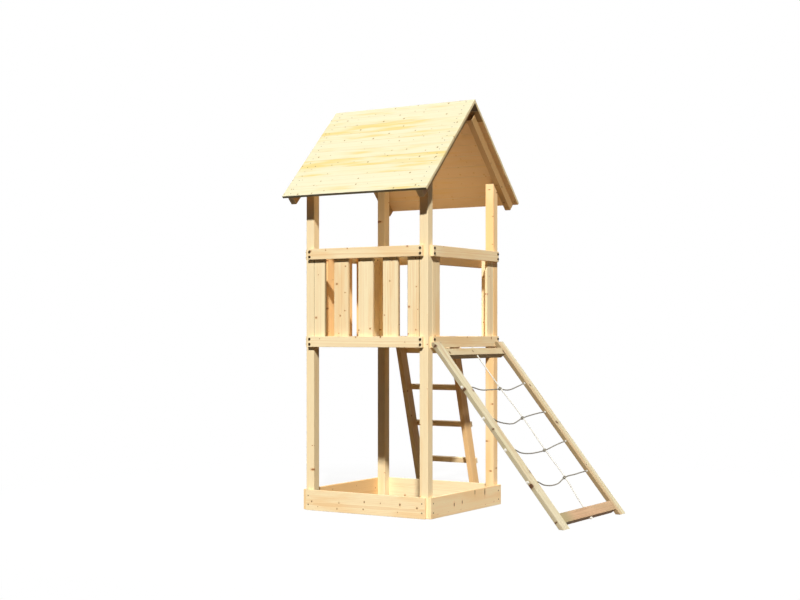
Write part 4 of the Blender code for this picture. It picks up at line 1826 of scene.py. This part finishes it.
@dataclass
class Roof:
    """The saddle roof: boards on both slopes and a rafter outside each post.

    Attributes:
        finishes: The tower's finishes.
        screws: The maker of the screws.
        wood: The model of a wood screw's head.
        slope: The slope's angle.
        peak: Height of the ridge.
        half_length: Half the length of the ridge.
        length_spread: How much further in a board's end may lie.
        board_thickness: Thickness of a roof board.
        board_pitch: The way down the slope from one board to the next.
        boards: How many boards a slope has.
        eave: The way down the slope from the ridge to the eave.
        rafter_thickness: Thickness of a rafter.
        rafter_depth: Depth of a rafter under the boards, with its gap.
        rafter_top: The way down the slope at which a rafter starts.
        screw: Where a rafter's screw goes, across and up.
        nail_line: Where the nails stand, to both sides of the middle.
        nail_shares: Where they stand on a board, as shares of the way down it.
        tones: How golden the boards of the front slope are, from the ridge down.
        ridge_shades: Painted shade on the undersides next to the ridge: how light they are, by the board's
            number.
    """

    finishes: Finishes
    screws: Screws
    wood: Piece
    slope: float = math.radians(45)
    peak: float = 2.912
    half_length: float = 0.594
    length_spread: float = 0.0012
    board_thickness: float = 0.0191
    board_pitch: float = 0.097
    boards: int = 10
    eave: float = 0.9617
    rafter_thickness: float = 0.045
    rafter_depth: float = 0.060
    rafter_top: float = 0.1203
    screw: Span = (0.486, 2.338)
    nail_line: float = 0.5288
    nail_shares: Span = (0.25, 0.75)
    tones: tuple[float, ...] = (-0.3, -0.1, 0.45, 0.0, -0.3, -0.1, 0.5, 0.15, -0.9, -0.1)
    ridge_shades: dict[int, float] = field(default_factory=lambda: {0: 0.12, 1: 0.5})

    def down(self, side: Side) -> Vector:
        """The way down a slope."""
        return Vector((0, side.value * math.cos(self.slope), -math.sin(self.slope)))

    def out(self, side: Side) -> Vector:
        """The way out of a slope."""
        return Vector((0, side.value * math.sin(self.slope), math.cos(self.slope)))

    def along(self, side: Side) -> Vector:
        """The way along the ridge that makes a right-handed frame with the other two."""
        return self.down(side).cross(self.out(side))

    def build_boards(self) -> None:
        """Builds the boards of both slopes, mitred at the ridge, and their nails."""
        nail = self.screws.nail_model()
        for side in Side:
            chance = random.Random(f"roof {side.deep}")
            nails = []
            for number in range(self.boards):
                low = max(self.eave - (self.boards - number) * self.board_pitch, -self.board_pitch)
                high = low + self.board_pitch
                if number == 0:
                    low = -self.board_thickness
                width = high - low - GAP
                middle_down = (high + low) / 2
                length = 2 * (self.half_length - chance.uniform(0, self.length_spread))
                middle = in_tower(0, 0, self.peak)
                middle += self.down(side) * middle_down - self.out(side) * (self.board_thickness / 2)
                cuts = []
                if number == 0:
                    cuts = [(in_tower(0, side.value * GAP, 0), Vector((0, -side.value, 0)))]
                for end in Side:
                    for share in self.nail_shares:
                        spot = in_tower(end.value * self.nail_line, 0, self.peak)
                        spot += self.down(side) * (max(low, 0) + share * (high - max(low, 0)))
                        nails.append((spot, self.out(side)))
                tone = self.tones[number] if side is Side.LOW else None
                Timber(
                    f"roof_board_{side.deep}_{number + 1}",
                    (length, width, self.board_thickness),
                    axes(self.along(side), self.down(side), middle),
                    self.finishes.roof,
                    Slot.ROOF,
                    (f"roof_boards_{side.deep}",),
                    tone=tone,
                    # Painted shade on the undersides next to the ridge.
                    under_shade=self.ridge_shades.get(number, 1.0),
                    # Painted shade on the eave board's lower edge.
                    damp_edge=number == self.boards - 1,
                    arris=0.0009,
                    cuts=cuts,
                ).build()
            self.screws.set_row(nail, f"roof_nails_{side.deep}", nails)
        Hands.drop(nail)
        log.info("roof boards: %d on each slope, with their nails", self.boards)

    def build_rafters(self) -> None:
        """Builds the four rafters, sawn square at both ends, and their screws."""
        upper = self.board_thickness + GAP
        lower = self.board_thickness + self.rafter_depth
        for x_side in Side:
            for y_side in Side:
                name = f"{y_side.deep}_{x_side.across}"
                across = x_side.value * (OUTER + GAP + self.rafter_thickness / 2)
                middle = in_tower(across, 0, self.peak)
                middle += self.down(y_side) * ((self.eave + self.rafter_top) / 2)
                middle -= self.out(y_side) * ((upper + lower) / 2)
                Timber(
                    f"rafter_{name}_timber",
                    (self.eave - self.rafter_top, lower - upper, self.rafter_thickness),
                    axes(self.down(y_side), self.out(y_side), middle),
                    self.finishes.planed,
                    Slot.PLANED,
                    (f"rafter_{name}",),
                    # A high tone and a low shade paint warm shade into the rafters.
                    tone=1.3,
                    shade=0.58,
                    arris=0.003,
                ).build()
                y, z = self.screw
                face = x_side.value * (OUTER + GAP + self.rafter_thickness)
                spot = in_tower(face, y_side.value * y, z)
                out = Vector((x_side.value, 0, 0))
                self.screws.set_row(
                    self.wood, f"rafter_screw_{name}_head", [(spot, out)], f"rafter_screw_{name}"
                )
        log.info("rafters: 4")


@dataclass
class Ladder:
    """The ladder that leans on the back platform rail.

    Attributes:
        finishes: The tower's finishes.
        screws: The maker of the screws.
        wood: The model of a wood screw's head.
        lean: The angle between the stiles and the plumb.
        left: Outer side of the left stile.
        right: Outer side of the right stile.
        foot: Where the stiles' front edges meet the ground.
        top: Height of the stiles.
        stile_length: Length of a stile before it is sawn off.
        stile_under: How far it then reaches under the ground.
        stile_thickness: Thickness of a stile.
        stile_depth: Depth of a stile.
        stile_looks: The stiles' tone and shade, painted shade on the left stile and painted light on the
            right one.
        rung_heights: Heights of the rungs' middles.
        rung_width: Width of a rung up the slope.
        rung_thickness: Thickness of a rung.
        rung_screw_offset: How far the screws stand over and under a rung's middle.
    """

    finishes: Finishes
    screws: Screws
    wood: Piece
    lean: float = math.atan(0.291)
    left: float = -0.400
    right: float = 0.117
    foot: float = 0.8708
    top: float = 1.236
    stile_length: float = 1.45
    stile_under: float = 0.06
    stile_thickness: float = 0.037
    stile_depth: float = 0.087
    # The left stile's low shade is painted shade; the right stile's high tone and shade are painted light.
    stile_looks: dict[str, dict[str, float]] = field(
        default_factory=lambda: {"left": {"tone": 0.6, "shade": 0.76}, "right": {"tone": 1.3, "shade": 1.1}}
    )
    rung_heights: tuple[float, ...] = (0.272, 0.558, 0.844, 1.130)
    rung_width: float = 0.042
    rung_thickness: float = 0.024
    rung_screw_offset: float = 0.010

    @property
    def up(self) -> Vector:
        """The way up the stiles."""
        return Vector((0, -math.sin(self.lean), math.cos(self.lean)))

    @property
    def out(self) -> Vector:
        """The way out of the rungs' faces."""
        return Vector((0, math.cos(self.lean), math.sin(self.lean)))

    def build(self) -> None:
        """Builds the stiles, the rungs and their screws."""
        starts = {"left": self.left, "right": self.right - self.stile_thickness}
        cuts = [
            (in_tower(0, 0, 0), -UP),
            (in_tower(0, 0, self.top), UP),
            (in_tower(0, RAIL_FACE + GAP, 0), Vector((0, -1, 0))),
        ]
        for name, start in starts.items():
            middle = in_tower(start + self.stile_thickness / 2, self.foot, 0)
            climb = self.stile_length / 2 - self.stile_under
            middle += self.up * climb + self.out * (self.stile_depth / 2)
            Timber(
                f"ladder_stile_{name}_timber",
                (self.stile_length, self.stile_depth, self.stile_thickness),
                axes(self.up, self.out, middle),
                self.finishes.planed,
                Slot.PLANED,
                (f"ladder_stile_{name}",),
                cuts=cuts,
                **self.stile_looks[name],
            ).build()
        places = []
        for number, height in enumerate(self.rung_heights, 1):
            aside = self.out * (self.stile_depth + GAP + self.rung_thickness / 2)
            climb = (height - aside.z) / self.up.z
            middle = in_tower((self.left + self.right) / 2, self.foot, 0) + self.up * climb + aside
            Timber(
                f"ladder_rung_{number}_timber",
                (self.right - self.left, self.rung_width, self.rung_thickness),
                axes(Vector((-1, 0, 0)), self.up, middle),
                self.finishes.planed,
                Slot.PLANED,
                (f"ladder_rung_{number}",),
            ).build()
            for start in starts.values():
                for sign in (-1, 1):
                    spot = middle + self.out * (self.rung_thickness / 2)
                    spot += self.up * (sign * self.rung_screw_offset)
                    spot.x = TOWER_CENTRE.x + start + self.stile_thickness / 2
                    places.append((spot, self.out))
        self.screws.set_row(self.wood, "ladder_screws", places)
        log.info("ladder: 2 stiles, %d rungs", len(self.rung_heights))


@dataclass
class PhotoCamera:
    """The camera that took the photograph.

    Attributes:
        place: Where it stands.
        turn: How far it looks round from the front.
        sensor: Width of its sensor, in millimetres.
        lens: Focal length on that sensor, in millimetres.
        shift: How far the picture is shifted, as shares of its width.
    """

    place: tuple[float, float, float] = (4.9304, -8.8944, 1.2665)
    turn: float = 0.5607
    sensor: float = 36
    lens: float = 63.59
    shift: Span = (0.0109, 0.0407)

    def build(self) -> None:
        """Adds the level camera and makes it the scene's."""
        data = bpy.data.cameras.new("photo_camera")
        data.lens = self.lens
        data.sensor_width = self.sensor
        data.shift_x, data.shift_y = self.shift
        camera = bpy.data.objects.new("photo_camera", data)
        camera.location = self.place
        camera.rotation_euler = (math.pi / 2, 0, self.turn)
        bpy.context.scene.collection.objects.link(camera)
        bpy.context.scene.camera = camera


@dataclass
class Daylight:
    """Sun, sky and a white floor that keeps a faint shadow.

    Attributes:
        toward_sun: The way to the sun.
        sun: Strength of the sun.
        sun_size: How wide the sun is, in degrees.
        sky: Strength of the sky's light.
        toward_back: The way to the wide lamp that lights the back softly.
        back: Strength of that lamp.
        back_size: How wide it is, in degrees.
        fill: Strength of the lamp that lights the roof's underside from the platform.
        fill_size: Width of that lamp.
        fill_place: Where it lies, in the tower's frame.
        sun_colour: Colour of the sun.
        shade_colour: Colour of the sky, the back lamp and the fill lamp.
        floor_size: Width of the floor.
        floor_drop: How far it lies under what stands on it.
        floor: Colour of the floor in what it throws back on the tower.
        front_floor: Share of that colour that the floor has in front of the tower.
        front_way: How much a point's x and y count for how far in front it lies.
        front_edges: How far in front the floor starts to darken and is fully dark.
        clean: How much of the floor's own light covers the shadow.
        clean_edges: How far out the shadow starts to fade and the floor is plain white.
    """

    toward_sun: tuple[float, float, float] = (0.62, -1.0, 0.92)
    sun: float = 4.5
    sun_size: float = 2.5
    sky: float = 0.05
    toward_back: tuple[float, float, float] = (-0.7, 1.0, 0.75)
    back: float = 1.9
    back_size: float = 70.0
    fill: float = 2.6
    fill_size: float = 0.75
    fill_place: tuple[float, float, float] = (0, 0, 1.80)
    sun_colour: Colour = (1.0, 0.985, 0.95)
    shade_colour: Colour = (1.0, 0.88, 0.68)
    floor_size: float = 240
    floor_drop: float = 0.0005
    floor: Colour = (101, 79, 50)
    front_floor: float = 0.1
    front_way: Span = (-0.5, -1)
    front_edges: Span = (0.5, 2.0)
    clean: float = 0.93
    clean_edges: Span = (2.0, 4.0)

    def build(self) -> None:
        """Adds the lamps, the sky and the floor."""
        suns = (
            ("sun", self.toward_sun, self.sun, self.sun_size, self.sun_colour),
            ("back", self.toward_back, self.back, self.back_size, self.shade_colour),
        )
        for name, toward, strength, width, colour in suns:
            data = bpy.data.lights.new(name, "SUN")
            data.energy = strength
            data.angle = math.radians(width)
            data.color = colour
            lamp = bpy.data.objects.new(name, data)
            lamp.rotation_euler = Vector(toward).to_track_quat("Z", "Y").to_euler()
            bpy.context.scene.collection.objects.link(lamp)
        data = bpy.data.lights.new("fill", "AREA")
        data.energy = self.fill
        data.size = self.fill_size
        data.color = self.shade_colour
        lamp = bpy.data.objects.new("fill", data)
        lamp.location = in_tower(*self.fill_place)
        lamp.rotation_euler = (math.pi, 0, 0)
        lamp.visible_camera = False
        bpy.context.scene.collection.objects.link(lamp)
        world = bpy.data.worlds.new("sky")
        bpy.context.scene.world = world
        world.use_nodes = True
        graph = Graph(world.node_tree)
        seen = self.seen(graph)
        colour = graph.blend(seen, (*self.shade_colour, 1), (1, 1, 1, 1))
        strength = graph.band(seen, 0.0, 1.0, self.sky, 1.0)
        graph.feed(graph.tree.nodes["Background"], {"Color": colour, "Strength": strength})
        self.build_floor()

    @staticmethod
    def seen(graph: Graph) -> Socket:
        """Returns 1 for the rays that show a background: from the camera, in gloss and in glass.

        Args:
            graph: The graph that asks.

        Returns:
            1 or 0.
        """
        rays = graph.add("LightPath").outputs
        glossy = graph.math("MAXIMUM", rays["Is Glossy Ray"], rays["Is Transmission Ray"])
        return graph.math("MAXIMUM", rays["Is Camera Ray"], glossy)

    def build_floor(self) -> None:
        """Adds the floor, nearly white where it is seen and plain where it only reflects."""
        Hands.let_go()
        bpy.ops.mesh.primitive_plane_add(size=self.floor_size, location=(0, 0, -self.floor_drop))
        floor = bpy.context.object
        floor.name = "floor"
        material, graph = Graph.of_material("floor")
        graph.tree.nodes.remove(graph.tree.nodes["Principled BSDF"])
        seen = self.seen(graph)
        place = graph.add("TexCoord").outputs["Object"]
        x, y, _ = graph.add("SeparateXYZ", {0: place}).outputs
        x_share, y_share = self.front_way
        ahead = graph.math("MULTIPLY_ADD", x, x_share, graph.math("MULTIPLY", y, y_share))
        ahead = graph.band(ahead, *self.front_edges)
        dark = tuple(self.front_floor * part for part in linear(self.floor)[:3])
        thrown = graph.blend(ahead, linear(self.floor), (*dark, 1))
        colour = graph.blend(seen, thrown, (1, 1, 1, 1))
        matt = graph.add("BsdfDiffuse", {"Color": colour}).outputs[0]
        light = graph.add("Emission", {"Color": (1, 1, 1, 1), "Strength": 1.0}).outputs[0]
        away = graph.add("VectorMath", {0: place}, operation="LENGTH")
        cover = graph.band(away.outputs["Value"], *self.clean_edges, self.clean, 1.0)
        share = graph.math("MULTIPLY", seen, cover)
        mixed = graph.add("MixShader", {0: share, 1: matt, 2: light}).outputs[0]
        graph.feed(graph.tree.nodes["Material Output"], {"Surface": mixed})
        floor.data.materials.append(material)


def main() -> None:
    """Builds the tower piece by piece and logs each one."""
    logging.basicConfig(level=logging.INFO, format="%(name)s: %(message)s")
    bpy.context.scene.view_settings.view_transform = "Standard"
    PhotoCamera().build()
    Daylight().build()
    finishes = Finishes.build()
    NetRamp(finishes).build()
    screws = Screws(finishes.steel)
    coach = screws.coach_model()
    wood = screws.wood_model()
    tower = Tower(finishes, screws, coach, wood)
    tower.build_posts()
    tower.build_sandbox()
    tower.build_rails()
    tower.build_boards()
    tower.build_floor()
    roof = Roof(finishes, screws, wood)
    roof.build_boards()
    roof.build_rafters()
    Ladder(finishes, screws, wood).build()
    Hands.drop(coach, wood)


if __name__ == "__main__":
    main()
